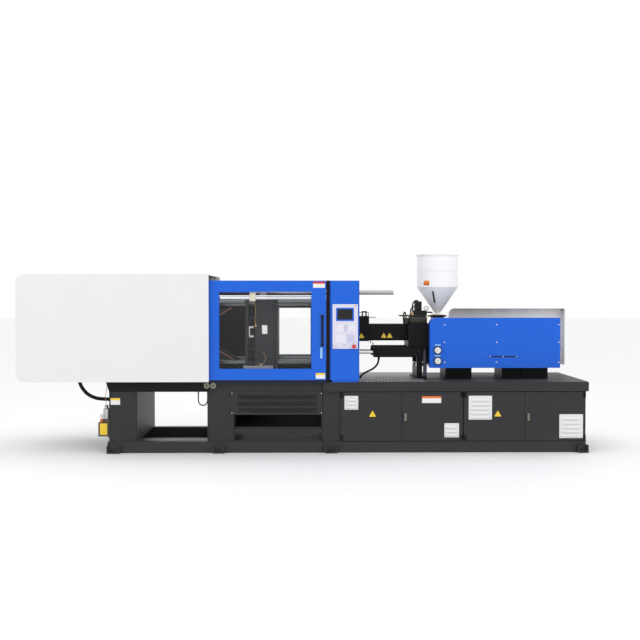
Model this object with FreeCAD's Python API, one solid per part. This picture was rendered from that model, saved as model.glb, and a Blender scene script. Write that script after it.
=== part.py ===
import FreeCAD, Part
import math
import os
from FreeCAD import Vector

os.makedirs("parts", exist_ok=True)

# Injection moulding machine, about 250 t clamp force.  Millimetres, +Z up, +X from the clamp end to the
# injection end, -Y the operator's side.  Origin: on the floor, in the middle of the length and width.

# ---- overall sizes ----
MACHINE_LENGTH = 5790.0
COVER_WIDTH = 1440.0          # over the clamp covers
BED_WIDTH = 1250.0            # welded beds
AXIS_Z = 1200.0               # clamp and nozzle axis
CLAMP_BED_TOP = 727.0
INJECTION_BED_TOP = 720.0
SKID_HEIGHT = 113.0

# ---- clearances ----
SLIDE_GAP = 0.3               # between sliding flat or curved faces of different bodies
PIN_GAP = 0.05                # radial, pin in its eye
SHEET = 3.0                   # cover sheet
BED_WALL = 10.0

# ---- lengths along X ----
CLAMP_END = -MACHINE_LENGTH / 2
INJECTION_END = MACHINE_LENGTH / 2
BED_LEFT = -1997.0
BED_SPLIT = 186.0             # where the two beds are bolted together
COVER_RIGHT = -963.0
PILLAR_LEFT = (-1981.0, -1697.0)
PILLAR_MIDDLE = (-986.0, -713.0)
BEAM_DEPTH = 107.0            # upper beam of the clamp bed
CHUTE_TOP = 385.0

# ---- clamp unit ----
TIE_SPACING = 620.0
TIE_RADIUS = 40.0
PLATEN_EDGE = 90.0            # tie bar axis to the platen's edge
FIXED_PLATEN_X = 250.0        # mould face
FIXED_PLATEN_THICK = 200.0
MOVING_FACE_X = -278.0        # mould face at rest
MOVING_BLOCK = 233.0
MOVING_REAR = (-612.0, -583.0)
LOCATING_RADIUS = 80.0
LOCATING_DEPTH = 20.0
MOULD_HOLE_RADIUS = 8.0
MOULD_HOLE_PITCH = (350.0, 350.0)
TAIL_THICK = 200.0
TAIL_SETBACK = 250.0          # tail pin axis to the tail platen's face
WAY_HEIGHT = 18.0             # slide ways on the clamp bed
WAY_Y = (300.0, 440.0)

# ---- double toggle: every link is drawn at the rest angle ----
LINK_LENGTH = 300.0
REST_ANGLE = math.radians(31.0)
PIN_HEIGHT = 340.0            # of the tail and platen pins from the axis
PLATEN_PIN_X = -690.0
ARM_LENGTH = 160.0            # tail pin to crosshead-link pin, and the crosshead link itself
ARM_ANGLE = math.radians(50.0)
EYE_RADIUS = 45.0
SMALL_EYE_RADIUS = 34.0
LINK_PIN_RADIUS = 25.0
ARM_PIN_RADIUS = 18.0
CROSSHEAD_Y = 30.0            # half width of each layer of the toggle, from the middle outwards
ARM_LINK_Y = (32.0, 52.0)
FORK_INNER_Y = (54.0, 84.0)
LINK_Y = (86.0, 126.0)
FORK_OUTER_Y = (128.0, 158.0)
PISTON_ROD_RADIUS = 40.0
PISTON_RADIUS = 90.0
CLAMP_CYLINDER_LENGTH = 600.0

# ---- guards ----
GATE_X = (-985.0, 218.0)
GATE_Z = (744.0, 1749.0)
GATE_THICK = 35.0
WINDOW_X = (-861.0, 70.0)
WINDOW_Z = (857.0, 1636.0)
REAR_WINDOW_Z = (926.0, 1461.0)
GLAZING = 6.0
RUNNER_HEIGHT = 28.0
ROLLER_RADIUS = 30.0
ROLLER_X = (-988.0, -922.0)
RAIL_RADIUS = 23.0
RAIL_Z = 1576.0
HANGER_X = (-900.0, -525.0)
POST_X = (222.0, 254.0)
CABINET_X = (264.0, 555.0)
CABINET_DEPTH = 230.0
PANEL_X = (287.0, 536.0)
PANEL_Z = (1063.0, 1507.0)

# ---- doors of the injection bed ----
DOOR_START = 370.0
DOOR_END_MARGIN = 32.0
DOOR_Z = (120.0, 617.0)
DOOR_THICK = 20.0
DOOR_GAP = 4.0
HINGE_GAP = 16.0
HINGE_RADIUS = 5.0
HINGE_LENGTH = 60.0
FASCIA_Z = 624.0
FASCIA_OVERHANG = 29.0

# ---- injection unit ----
CARRIAGE_TRAVEL = 250.0
RAM_TRAVEL = 230.0
GUIDE_X = (1184.0, 2620.0)
GUIDE_Y = (130.0, 190.0)
GUIDE_Z = (850.0, 880.0)
HOUSING_X = (1095.0, 1520.0)
HOUSING_Z = (1055.0, 1298.0)
HOUSING_HALF_WIDTH = 230.0
BARREL_RADIUS = 55.0
SCREW_RADIUS = 25.0
NOZZLE_TIP_X = 340.0
BARREL_FRONT_X = 560.0
HOPPER_X = 1430.0
HOPPER_RADIUS = 219.5
HOPPER_RIM_RADIUS = 233.0
HOPPER_Z = (1388.0, 1410.0, 1685.0, 2030.0)
HOPPER_TOP = 2069.0
HOPPER_NECK_RADIUS = 30.0
THROAT_RADIUS = 25.0
SEAT_Y = 200.0
SEAT_ROD_RADIUS = 16.0
SEAT_BOX_X = (729.0, 1243.0)
SEAT_BOX_Z = (948.0, 1050.0)
RAM_X = (2080.0, 2140.0)
INJECTION_CYLINDER_Y = 250.0
BLUE_COVER_X = (1302.0, 2656.0)
BLUE_COVER_Z = (846.0, 1366.0)
BLUE_COVER_Y = 423.0
WHITE_COVER_X = (1600.0, 2890.0)
WHITE_COVER_Z = (826.0, 1455.0)
WHITE_COVER_Y = 453.0

# ---- worked out ----
BED_Y = BED_WIDTH / 2
COVER_Y = COVER_WIDTH / 2
COVER_Z = (CLAMP_BED_TOP, 1811.0)
PLATEN_HALF = TIE_SPACING / 2 + PLATEN_EDGE
TAIL_PIN_X = PLATEN_PIN_X - 2 * LINK_LENGTH * math.cos(REST_ANGLE)
TAIL_FACE_X = TAIL_PIN_X - TAIL_SETBACK
GATE_OUT = COVER_Y - 45.0
GATE_IN = GATE_OUT - GATE_THICK
RAIL_Y = GATE_IN - 33.0
DOOR_FACE = BED_Y + DOOR_THICK


def block(x, y, z):
    return Part.makeBox(x[1] - x[0], y[1] - y[0], z[1] - z[0], Vector(x[0], y[0], z[0]))


def rod(radius, start, end):
    axis = Vector(*end) - Vector(*start)
    return Part.makeCylinder(radius, axis.Length, Vector(*start), axis)


def x_rod(radius, x, y, z):
    return rod(radius, (x[0], y, z), (x[1], y, z))


def y_rod(radius, x, y, z):
    return rod(radius, (x, y[0], z), (x, y[1], z))


def join(shapes):
    return shapes[0].multiFuse(shapes[1:]).removeSplitter() if len(shapes) > 1 else shapes[0]


def group(shapes):
    return Part.makeCompound(shapes)


def span(low_high, side):
    """A range of |Y| on the side given as +1 or -1, low value first."""
    low, high = low_high
    return (low, high) if side > 0 else (-high, -low)


def outline(points, y):
    """Closed XZ outline extruded over the range y; a point is (x, z) or (x, z, corner radius)."""
    count = len(points)
    arcs = {}
    starts = []
    ends = []
    for i in range(count):
        here = Vector(points[i][0], y[0], points[i][1])
        radius = points[i][2] if len(points[i]) > 2 else 0.0
        if radius <= 0.0:
            starts.append(here)
            ends.append(here)
            continue
        before = Vector(points[i - 1][0], y[0], points[i - 1][1]) - here
        after = Vector(points[(i + 1) % count][0], y[0], points[(i + 1) % count][1]) - here
        before.normalize()
        after.normalize()
        turn = math.pi - before.getAngle(after)
        reach = radius * math.tan(turn / 2)
        first = here + before * reach
        last = here + after * reach
        middle = before + after
        middle.normalize()
        centre = here + middle * (radius / math.cos(turn / 2))
        arcs[i] = Part.Arc(first, centre - middle * radius, last).toShape()
        starts.append(first)
        ends.append(last)
    wire = []
    for i in range(count):
        if i in arcs:
            wire.append(arcs[i])
        follow = (i + 1) % count
        if (starts[follow] - ends[i]).Length > 1e-6:
            wire.append(Part.makeLine(ends[i], starts[follow]))
    return Part.Face(Part.Wire(wire)).extrude(Vector(0, y[1] - y[0], 0))


def turned(profile, x_axis):
    """Solid of revolution: profile is (height along Z or X, radius) pairs, about X if x_axis is true."""
    points = [Vector(a, 0, r) if x_axis else Vector(r, 0, a) for a, r in profile]
    face = Part.Face(Part.makePolygon(points + [points[0]]))
    axis = Vector(1, 0, 0) if x_axis else Vector(0, 0, 1)
    return face.revolve(Vector(0, 0, 0), axis, 360)


def bar_plate(start, end, radius, y):
    """Round-ended flat bar between two (x, z) points over the range y."""
    run = math.hypot(end[0] - start[0], end[1] - start[1])
    middle = block((0, run), y, (-radius * 0.8, radius * 0.8))
    middle.rotate(Vector(0, 0, 0), Vector(0, 1, 0), -math.degrees(math.atan2(end[1] - start[1], end[0] - start[0])))
    middle.translate(Vector(start[0], 0, start[1]))
    return [middle, y_rod(radius, start[0], y, start[1]), y_rod(radius, end[0], y, end[1])]


def save(name, shape):
    solids = shape.Solids
    (solids[0] if len(solids) == 1 else Part.makeCompound(solids)).exportStep("parts/" + name + ".step")
    print(name, len(solids), "solids", "valid" if shape.isValid() else "INVALID")


def clamp_bed():
    """Welded bed: skid rails, two hollow pillars, an upper box beam, a drop shaft and a sloped chute."""
    y = (-BED_Y, BED_Y)
    beam = (CLAMP_BED_TOP - BEAM_DEPTH, CLAMP_BED_TOP)
    right = BED_SPLIT - 3.0
    drop_x = (-560.0, 160.0)
    drop_y = (-250.0, 250.0)
    shelf_z = (CHUTE_TOP, CHUTE_TOP + BED_WALL)
    floor = (SKID_HEIGHT, SKID_HEIGHT + BED_WALL)
    upper = outline([(BED_LEFT - 19, beam[1]), (right, beam[1]), (right, beam[0]), (PILLAR_LEFT[0], beam[0])], y)
    hollow = block((PILLAR_LEFT[0] + BED_WALL, right - BED_WALL), (-BED_Y + BED_WALL, BED_Y - BED_WALL),
                   (beam[0] + BED_WALL, beam[1] - BED_WALL))
    shaft_out = block((drop_x[0] - 8, drop_x[1] + 8), (drop_y[0] - 8, drop_y[1] + 8), (CHUTE_TOP, beam[1]))
    pieces = [upper.cut(hollow), shaft_out]
    for x in (PILLAR_LEFT, PILLAR_MIDDLE):
        shell = block(x, y, (floor[0], beam[0]))
        pieces.append(shell.cut(block((x[0] + BED_WALL, x[1] - BED_WALL), (-BED_Y + BED_WALL, BED_Y - BED_WALL),
                                      (floor[1], beam[0] - BED_WALL))))
    pieces.append(block((right - BED_WALL, right), y, (floor[0], beam[0])))
    pieces.append(block((PILLAR_MIDDLE[1], right), y, shelf_z))
    pieces.append(block((PILLAR_MIDDLE[1] - 1, right), y, floor))
    for side in (1, -1):
        pieces.append(block((BED_LEFT, right), span((BED_Y - 80, BED_Y + 15), side), (0, SKID_HEIGHT)))
        pieces.append(block((TAIL_FACE_X - TAIL_THICK - 260, right), span(WAY_Y, side),
                            (CLAMP_BED_TOP, CLAMP_BED_TOP + WAY_HEIGHT)))
        lip = span((BED_Y - 25, BED_Y), side)
        pieces.append(block((PILLAR_MIDDLE[1] - 1, right - 1), lip, (202, 247)))
        for x in ((BED_LEFT, BED_LEFT + 127), (-926, -810)):
            pieces.append(foot(x, side))
    for x in ((BED_LEFT, BED_LEFT + 100), (-900, -800)):
        pieces.append(block(x, y, (0, SKID_HEIGHT)))
    slope = Part.Face(Part.makePolygon([Vector(PILLAR_MIDDLE[1] - 1, a, b) for a, b in
                      ((BED_Y - 5, 372), (-BED_Y + 10, 225), (-BED_Y + 10, 219), (BED_Y - 5, 366),
                       (BED_Y - 5, 372))])).extrude(Vector(right - PILLAR_MIDDLE[1], 0, 0))
    bed = join(pieces + [slope])
    return bed.cut(block(drop_x, drop_y, (CHUTE_TOP - 1, beam[1] + 1)))


def foot(x, side):
    """Anchor foot: a pad with one bolt hole between two ears, outside the skid."""
    y = span((BED_Y + 15, BED_Y + 70), side)
    middle = (x[0] + x[1]) / 2
    shape = block(x, y, (0, 80)).cut(block((x[0] + 15, x[1] - 15), span((BED_Y + 27, BED_Y + 71), side), (15, 81)))
    return shape.cut(rod(9.0, (middle, side * (BED_Y + 48), -1), (middle, side * (BED_Y + 48), 16)))


def door_spans():
    """(low X, high X, hinge X) of the four doors, two pairs side by side."""
    end = INJECTION_END - DOOR_END_MARGIN
    width = (end - DOOR_START - 2 * DOOR_GAP - HINGE_GAP) / 4
    spans = []
    x = DOOR_START
    for index, gap in enumerate((DOOR_GAP, HINGE_GAP, DOOR_GAP, 0)):
        hinge = x if index % 2 == 0 else x + width
        spans.append((x, x + width, hinge))
        x += width + gap
    return spans


def injection_bed():
    """Welded cabinet bed with four door openings, a divided inside and a top plate with a skirt."""
    x = (BED_SPLIT, INJECTION_END - 25)
    y = (-BED_Y, BED_Y)
    z = (SKID_HEIGHT, INJECTION_BED_TOP - 20)
    inner_y = (-BED_Y + BED_WALL, BED_Y - BED_WALL)
    doors = door_spans()
    middle = (doors[1][1] + doors[2][0]) / 2
    body = block(x, y, z)
    for hollow in ((x[0] + BED_WALL, DOOR_START + 20), (DOOR_START + 30, middle - 5), (middle + 5, x[1] - BED_WALL)):
        body = body.cut(block(hollow, inner_y, (z[0] + BED_WALL, z[1] - BED_WALL)))
    for pair in (doors[:2], doors[2:]):
        body = body.cut(block((pair[0][0] + 30, pair[1][1] - 30), (-BED_Y - 1, inner_y[0] + 1),
                              (DOOR_Z[0] + 20, DOOR_Z[1] - 20)))
    top = (BED_SPLIT, INJECTION_END)
    out = BED_Y + FASCIA_OVERHANG
    pieces = [body, block(top, (-out, out), (INJECTION_BED_TOP - 20, INJECTION_BED_TOP))]
    for side in (1, -1):
        pieces.append(block(top, span((out - 8, out), side), (FASCIA_Z, INJECTION_BED_TOP)))
        pieces.append(block((BED_SPLIT, x[1]), span((BED_Y - 80, BED_Y + 15), side), (0, SKID_HEIGHT)))
        for feet_x in ((210, 330), (INJECTION_END - 116, INJECTION_END - 9)):
            pieces.append(foot(feet_x, side))
    for cross in (BED_SPLIT, x[1] - 100):
        pieces.append(block((cross, cross + 100), y, (0, SKID_HEIGHT)))
    pieces.append(block((INJECTION_END - 8, INJECTION_END), (-out, out), (FASCIA_Z, INJECTION_BED_TOP)))
    # hinge knuckles: one ear above and one below each door's pin
    for low, high, hinge in doors:
        for knuckle in ((DOOR_Z[0] - 6, DOOR_Z[0] - SLIDE_GAP), (DOOR_Z[1] + SLIDE_GAP, DOOR_Z[1] + 6)):
            ear = block((hinge - 9, hinge + 9), (-BED_Y - DOOR_THICK, -BED_Y + 1), knuckle)
            pieces.append(ear)
    bed = join(pieces)
    return bed.cut(block((1240, 1290 + CARRIAGE_TRAVEL), (-275, -223), (z[1] - BED_WALL - 1, INJECTION_BED_TOP + 1)))


def air_grille():
    """Screwed-on plate with fine upright slots in three rows."""
    plate = block((-748, BED_SPLIT - 3), (-BED_Y - 8, -BED_Y), (CHUTE_TOP + 4, CLAMP_BED_TOP - BEAM_DEPTH))
    slots = [block((-670 + 16 * i, -664 + 16 * i), (-BED_Y - 9, -BED_Y + 1), (z, z + 50))
             for i in range(50) for z in (408.0, 474.0, 540.0)]
    return plate.cut(Part.makeCompound(slots))


def tie_holes(x, radius):
    half = TIE_SPACING / 2
    return [x_rod(radius, x, sy * half, AXIS_Z + sz * half) for sy in (1, -1) for sz in (1, -1)]


def mould_holes(x):
    a, b = MOULD_HOLE_PITCH[0] / 2, MOULD_HOLE_PITCH[1] / 2
    return [x_rod(MOULD_HOLE_RADIUS, x, sy * a, AXIS_Z + sz * b) for sy in (1, -1) for sz in (1, -1)]


def fixed_platen():
    x = (FIXED_PLATEN_X, FIXED_PLATEN_X + FIXED_PLATEN_THICK)
    half = (-PLATEN_HALF, PLATEN_HALF)
    low = AXIS_Z - PLATEN_HALF
    plate = block(x, half, (low, AXIS_Z + PLATEN_HALF))
    feet = [block(x, span((250, PLATEN_HALF - 10), side), (INJECTION_BED_TOP, low)) for side in (1, -1)]
    nozzle_way = turned([(x[0] - 1, 0), (x[0] - 1, LOCATING_RADIUS), (x[0] + LOCATING_DEPTH, LOCATING_RADIUS),
                         (x[0] + LOCATING_DEPTH, 45), (x[0] + 70, 45), (x[1] + 1, 110), (x[1] + 1, 0)], True)
    nozzle_way.translate(Vector(0, 0, AXIS_Z))
    cuts = tie_holes((x[0] - 1, x[1] + 1), TIE_RADIUS + PIN_GAP) + mould_holes((x[0] - 1, x[0] + 40)) + [nozzle_way]
    return join([plate] + feet).cut(Part.makeCompound(cuts[:-1])).cut(cuts[-1])


def tie_bars():
    """Four tie bars with their front nuts, each its own solid."""
    front = FIXED_PLATEN_X + FIXED_PLATEN_THICK
    bars = tie_holes((TAIL_FACE_X - TAIL_THICK - 240, front + 70), TIE_RADIUS)
    nuts = [n.cut(b) for n, b in zip(tie_holes((front, front + 60), TIE_RADIUS + 28),
                                     tie_holes((front - 1, front + 61), TIE_RADIUS + PIN_GAP))]
    return group(bars + nuts)


def clamp_cover(front):
    """Folded sheet cover: face with rounded corners and returns along the top, the end and half the bottom."""
    face_y = (-COVER_Y, -COVER_Y + 250)
    corner = 85.0
    low, high = COVER_Z
    outer = outline([(CLAMP_END, low, corner), (COVER_RIGHT, low), (COVER_RIGHT, high, 30), (CLAMP_END, high, corner)],
                    face_y)
    inner = outline([(CLAMP_END + SHEET, low + SHEET, corner - SHEET), (COVER_RIGHT + 9, low + SHEET),
                     (COVER_RIGHT + 9, high - SHEET), (CLAMP_END + SHEET, high - SHEET, corner - SHEET)],
                    (-COVER_Y + SHEET, -COVER_Y + 251))
    open_bottom = block((BED_LEFT - 23, COVER_RIGHT + 1), (-COVER_Y + SHEET, -COVER_Y + 251), (low - 1, low + SHEET + 1))
    shell = outer.cut(inner).cut(open_bottom)
    return shell if front else shell.mirror(Vector(0, 0, 0), Vector(0, 1, 0))


def cover_frame():
    """White frame inside the covers: end sheet, top sheet, posts on the bed and rails for the overhang."""
    low, high = COVER_Z
    side_y = (BED_Y - 95, BED_Y - 55)
    end_sheet = block((CLAMP_END + SHEET, CLAMP_END + 2 * SHEET), (-side_y[1], side_y[1]), (low + 90, high - 90))
    slots = [block((CLAMP_END, CLAMP_END + 10), (-380, 380), (900 + 90 * i, 925 + 90 * i)) for i in range(9)]
    roof = block((CLAMP_END + 90, COVER_RIGHT - 20), (-side_y[1], side_y[1]), (high - 2 * SHEET, high - SHEET))
    pieces = [end_sheet.cut(Part.makeCompound(slots)), roof]
    for side in (1, -1):
        y = span(side_y, side)
        for x in (-1980.0, -1020.0):
            pieces.append(block((x, x + 40), y, (low, high - SHEET)))
        pieces.append(block((CLAMP_END + 90, -1940), y, (low + SHEET, low + 43)))
        pieces.append(block((CLAMP_END + 90, -980), y, (high - 46, high - SHEET)))
        pieces.append(block((CLAMP_END + SHEET, CLAMP_END + 130), y, (low + 90, low + 130)))
        pieces.append(block((CLAMP_END + 90, CLAMP_END + 130), y, (low + SHEET, high - SHEET)))
        bracket = block((-1980, -1940), span((side_y[1] - 1, RAIL_Y + RAIL_RADIUS - 6), side), (RAIL_Z - 32, RAIL_Z + 32))
        pieces.append(bracket.cut(x_rod(RAIL_RADIUS + PIN_GAP, (-1985, -1935), side * RAIL_Y, RAIL_Z)))
    # arm that the main hose hangs from
    hose_x, hose_y, hose_z = HOSES["hose_main"][1][0]
    arm_x = (hose_x - 25, hose_x + 25)
    pieces.append(block(arm_x, (-side_y[1], -side_y[0]), (low + SHEET, hose_z + 12)))
    pieces.append(block(arm_x, (-side_y[1], hose_y + 40), (hose_z, hose_z + 12)))
    return join(pieces)


def guide_bars():
    """Hard-chromed bars: two gate rails, two carriage rails and two seat cylinder rods."""
    platen_back = FIXED_PLATEN_X + FIXED_PLATEN_THICK
    bars = []
    for side in (1, -1):
        bars.append(x_rod(RAIL_RADIUS, (-1978, POST_X[0]), side * RAIL_Y, RAIL_Z))
        bars.append(block(GUIDE_X, span(GUIDE_Y, side), GUIDE_Z))
        bars.append(x_rod(SEAT_ROD_RADIUS, (platen_back, 1180), side * SEAT_Y, sum(SEAT_BOX_Z) / 2))
    return group(bars)


def gate_posts():
    posts = []
    for side in (1, -1):
        posts.append(block(POST_X, span((RAIL_Y - 25, GATE_OUT), side), (INJECTION_BED_TOP, GATE_Z[1] + 1)))
    return group(posts)


def control_cabinet():
    y = (-GATE_OUT, -GATE_OUT + CABINET_DEPTH)
    plinth = block((CABINET_X[0] + 15, CABINET_X[1] - 15), (y[0] + 15, y[1] - 15), (INJECTION_BED_TOP, GATE_Z[0]))
    box = block(CABINET_X, y, GATE_Z)
    hollow = block((CABINET_X[0] + 3, CABINET_X[1] - 3), (y[0] + 3, y[1] - 3), (GATE_Z[0] + 3, GATE_Z[1] - 3))
    tab = block((POST_X[1], CABINET_X[0]), (-GATE_OUT + 20, -GATE_OUT + 50), GATE_Z)
    return join([box, plinth, tab]).cut(hollow)


def control_panel():
    """Operator panel with a screen recess and two button holes."""
    y = (-GATE_OUT - 12, -GATE_OUT)
    plate = block(PANEL_X, y, PANEL_Z)
    holes = [block((334, 486), (y[0] - 1, y[0] + 4), (1351, 1468))]
    holes += [y_rod(r, x, (y[0] - 1, y[1] + 1), z) for x, z, r in ((500, 1084, 12.0), (307, 1084, 9.0))]
    return plate.cut(Part.makeCompound(holes))


def estop_button():
    """Mushroom button 8 mm proud of its travel stop."""
    face = -GATE_OUT - 12
    return join([y_rod(20, 500, (face - 26, face - 12), 1084), y_rod(11.7, 500, (face - 12.5, face + 4), 1084)])


def key_switch():
    face = -GATE_OUT - 12
    return join([y_rod(14, 307, (face - 8, face - SLIDE_GAP), 1084), y_rod(8.7, 307, (face - 1, face + 6), 1084),
                 block((305.5, 308.5), (face - 30, face - 7), (1074, 1094))])


def sliding_gate(front):
    """Framed sliding guard: folded face with a window, hangers on the rail and a runner bar below."""
    y = (-GATE_OUT, -GATE_IN)
    window_z = WINDOW_Z if front else REAR_WINDOW_Z
    rim = 25.0
    slab = block(GATE_X, y, GATE_Z)
    pocket = block((GATE_X[0] + rim, GATE_X[1] - rim), (y[0] + SHEET, y[1] + 1), (GATE_Z[0] + rim, GATE_Z[1] - rim))
    frame = block((WINDOW_X[0] - 30, WINDOW_X[1] + 30), (y[0] + 1, y[1]), (window_z[0] - 30, window_z[1] + 30))
    frame = frame.cut(block((WINDOW_X[0] - 25, WINDOW_X[1] + 25), (y[0] + SHEET, y[1] + 1),
                            (window_z[0] - 25, window_z[1] + 25)))
    shape = join([slab.cut(pocket), frame])
    shape = shape.cut(block(WINDOW_X, (y[0] - 1, y[1] + 1), window_z))
    parts = [shape, block(GATE_X, (y[0], y[0] + 20), (GATE_Z[0] - RUNNER_HEIGHT, GATE_Z[0]))]
    for x in HANGER_X:
        parts.append(block((x - 30, x + 30), (y[1] - 1, -RAIL_Y + RAIL_RADIUS + 12), (RAIL_Z - 33, RAIL_Z + 33)))
        strap_z = (RAIL_Z - 33, WINDOW_Z[1] + 35) if front else (window_z[1] + 26, RAIL_Z)
        parts.append(block((x - 30, x + 30), (y[1] - 6, y[1]), strap_z))
    shape = join(parts)
    bores = [x_rod(RAIL_RADIUS + SLIDE_GAP, (x - 31, x + 31), -RAIL_Y, RAIL_Z) for x in HANGER_X]
    return shape.cut(Part.makeCompound(bores))


def glazing(front):
    """Clear sheet held behind the gate's face, inside the window frame."""
    window_z = WINDOW_Z if front else REAR_WINDOW_Z
    y = -GATE_OUT + SHEET
    return block((WINDOW_X[0] - 25, WINDOW_X[1] + 25), (y, y + GLAZING), (window_z[0] - 25, window_z[1] + 25))


def gate_handle():
    """Upright tubular handle on two standoffs."""
    x, y = 180.0, -GATE_OUT
    grip = rod(11, (x, y - 12 + 1, 1105), (x, y - 12 + 1, 1382))
    ends = [block((x - 13, x + 13), (y - 20, y), z) for z in ((1088, 1112), (1375, 1399))]
    return join([grip] + ends)


def gate_roller(x):
    """Guide roller with its stub axle on the bed's front face."""
    z = GATE_Z[0] - RUNNER_HEIGHT - SLIDE_GAP - ROLLER_RADIUS
    y = (-GATE_OUT - 2, -GATE_OUT + 24)
    return y_rod(ROLLER_RADIUS, x, y, z).cut(y_rod(8 + PIN_GAP, x, (y[0] - 1, y[1] + 1), z)), z


def roller_axles():
    axles = []
    for x in ROLLER_X:
        z = gate_roller(x)[1]
        axles.append(join([y_rod(8, x, (-GATE_OUT - 4, -BED_Y), z), y_rod(14, x, (-GATE_OUT + 24 + SLIDE_GAP, -BED_Y), z)]))
    return axles


def moving_platen():
    """Ribbed moving platen: front block with a set-back mould flange, core box, rear plate and pin lugs."""
    half = PLATEN_HALF
    square = lambda h: (-h, h)
    upright = lambda h: (AXIS_Z - h, AXIS_Z + h)
    front = MOVING_FACE_X - MOVING_BLOCK
    pieces = [block((front, MOVING_FACE_X - 40), square(half), upright(half)),
              block((MOVING_FACE_X - 40, MOVING_FACE_X), square(half - 18), upright(half - 18)),
              block((MOVING_REAR[1], front), square(290), upright(290)),
              block(MOVING_REAR, square(half), upright(half))]
    for sz in (1, -1):
        z = AXIS_Z + sz * PIN_HEIGHT
        for side in (1, -1):
            lug = bar_plate((PLATEN_PIN_X, z), (MOVING_REAR[0] - 5, z), EYE_RADIUS, span(LINK_Y, side))
            pieces.append(join(lug).cut(block((MOVING_REAR[0] + 1, 0), (-500, 500), (0, 2000))))
    solid = join(pieces)
    half_tie = TIE_SPACING / 2
    cuts = [x_rod(TIE_RADIUS + SLIDE_GAP, (MOVING_REAR[0] - 1, MOVING_FACE_X + 1), sy * half_tie, AXIS_Z + sz * half_tie)
            for sy in (1, -1) for sz in (1, -1)]
    cuts += mould_holes((MOVING_FACE_X - 40, MOVING_FACE_X + 1))
    cuts += [y_rod(LINK_PIN_RADIUS + PIN_GAP, PLATEN_PIN_X, (-300, 300), AXIS_Z + sz * PIN_HEIGHT) for sz in (1, -1)]
    cuts.append(block((MOVING_REAR[0] - 1, MOVING_FACE_X - 150), square(110), upright(110)))
    cuts += [x_rod(16, (MOVING_FACE_X - 151, MOVING_FACE_X + 1), 0, AXIS_Z + dz) for dz in (-70, 0, 70)]
    return solid.cut(Part.makeCompound(cuts))


def slide_shoes(x, depth):
    """A pair of shoes bolted to a platen's sides, running on the bed's ways."""
    shoes = []
    for side in (1, -1):
        foot_z = (CLAMP_BED_TOP + WAY_HEIGHT + SLIDE_GAP, AXIS_Z - PLATEN_HALF)
        shoes.append(join([block(x, span((WAY_Y[0] + 10, WAY_Y[1] - 2), side), foot_z),
                           block(x, span((PLATEN_HALF, WAY_Y[1] - 2), side), (foot_z[0], foot_z[1] + depth))]))
    return group(shoes)


def safety_rod():
    """Mechanical safety bar carried on the moving platen by a bracket and passing over the fixed platen."""
    top = AXIS_Z + PLATEN_HALF
    bracket = block((-470, -400), (-235, -165), (top, 1631))
    bar = x_rod(25, (-560, 939), -200, 1631)
    return join([bracket, bar])


def ejector():
    """Ejector plate with three rods; it slides forwards through the moving platen."""
    plate = block((-575, -545), (-100, 100), (AXIS_Z - 100, AXIS_Z + 100))
    rods = [x_rod(15.7, (-546, MOVING_FACE_X - 2), 0, AXIS_Z + dz) for dz in (-70, 0, 70)]
    return join([plate] + rods)


def lever_point(angle, length, sz):
    """A point at the given angle below (above, if sz is -1) the line through the tail pin."""
    return (TAIL_PIN_X + length * math.cos(angle), AXIS_Z + sz * (PIN_HEIGHT - length * math.sin(angle)))


def rear_link(sz):
    """Rear toggle link pair with its arm for the crosshead link and its pressed-in pins."""
    tail = (TAIL_PIN_X, AXIS_Z + sz * PIN_HEIGHT)
    knee = lever_point(REST_ANGLE, LINK_LENGTH, sz)
    arm = lever_point(REST_ANGLE + ARM_ANGLE, ARM_LENGTH, sz)
    solids = []
    for side in (1, -1):
        y = span(LINK_Y, side)
        plate = join(bar_plate(tail, knee, EYE_RADIUS, y) + bar_plate(tail, arm, SMALL_EYE_RADIUS, y))
        holes = [y_rod(LINK_PIN_RADIUS + PIN_GAP, p[0], (-300, 300), p[1]) for p in (tail, knee)]
        holes.append(y_rod(ARM_PIN_RADIUS + PIN_GAP, arm[0], (-300, 300), arm[1]))
        solids.append(plate.cut(Part.makeCompound(holes)))
        solids.append(y_rod(LINK_PIN_RADIUS, tail[0], span((FORK_INNER_Y[0], FORK_OUTER_Y[1]), side), tail[1]))
        solids.append(y_rod(ARM_PIN_RADIUS, arm[0], span((ARM_LINK_Y[0], LINK_Y[1]), side), arm[1]))
    solids.append(y_rod(LINK_PIN_RADIUS, knee[0], (-FORK_OUTER_Y[1], FORK_OUTER_Y[1]), knee[1]))
    return group(solids)


def front_link(sz):
    """Forked front toggle link: four plates joined by a web, with its platen pins."""
    knee = lever_point(REST_ANGLE, LINK_LENGTH, sz)
    platen = (PLATEN_PIN_X, AXIS_Z + sz * PIN_HEIGHT)
    middle = ((knee[0] + platen[0]) / 2, (knee[1] + platen[1]) / 2)
    plates = []
    for side in (1, -1):
        for y in (FORK_INNER_Y, FORK_OUTER_Y):
            plates += bar_plate(knee, platen, EYE_RADIUS, span(y, side))
    web = y_rod(32, middle[0], (-FORK_OUTER_Y[1], FORK_OUTER_Y[1]), middle[1])
    holes = [y_rod(LINK_PIN_RADIUS + PIN_GAP, p[0], (-300, 300), p[1]) for p in (knee, platen)]
    link = join(plates + [web]).cut(Part.makeCompound(holes))
    pins = [y_rod(LINK_PIN_RADIUS, platen[0], span((FORK_INNER_Y[0], FORK_OUTER_Y[1]), side), platen[1])
            for side in (1, -1)]
    return group([link] + pins)


def crosshead_x():
    return TAIL_PIN_X + 2 * ARM_LENGTH * math.cos(REST_ANGLE + ARM_ANGLE)


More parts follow.
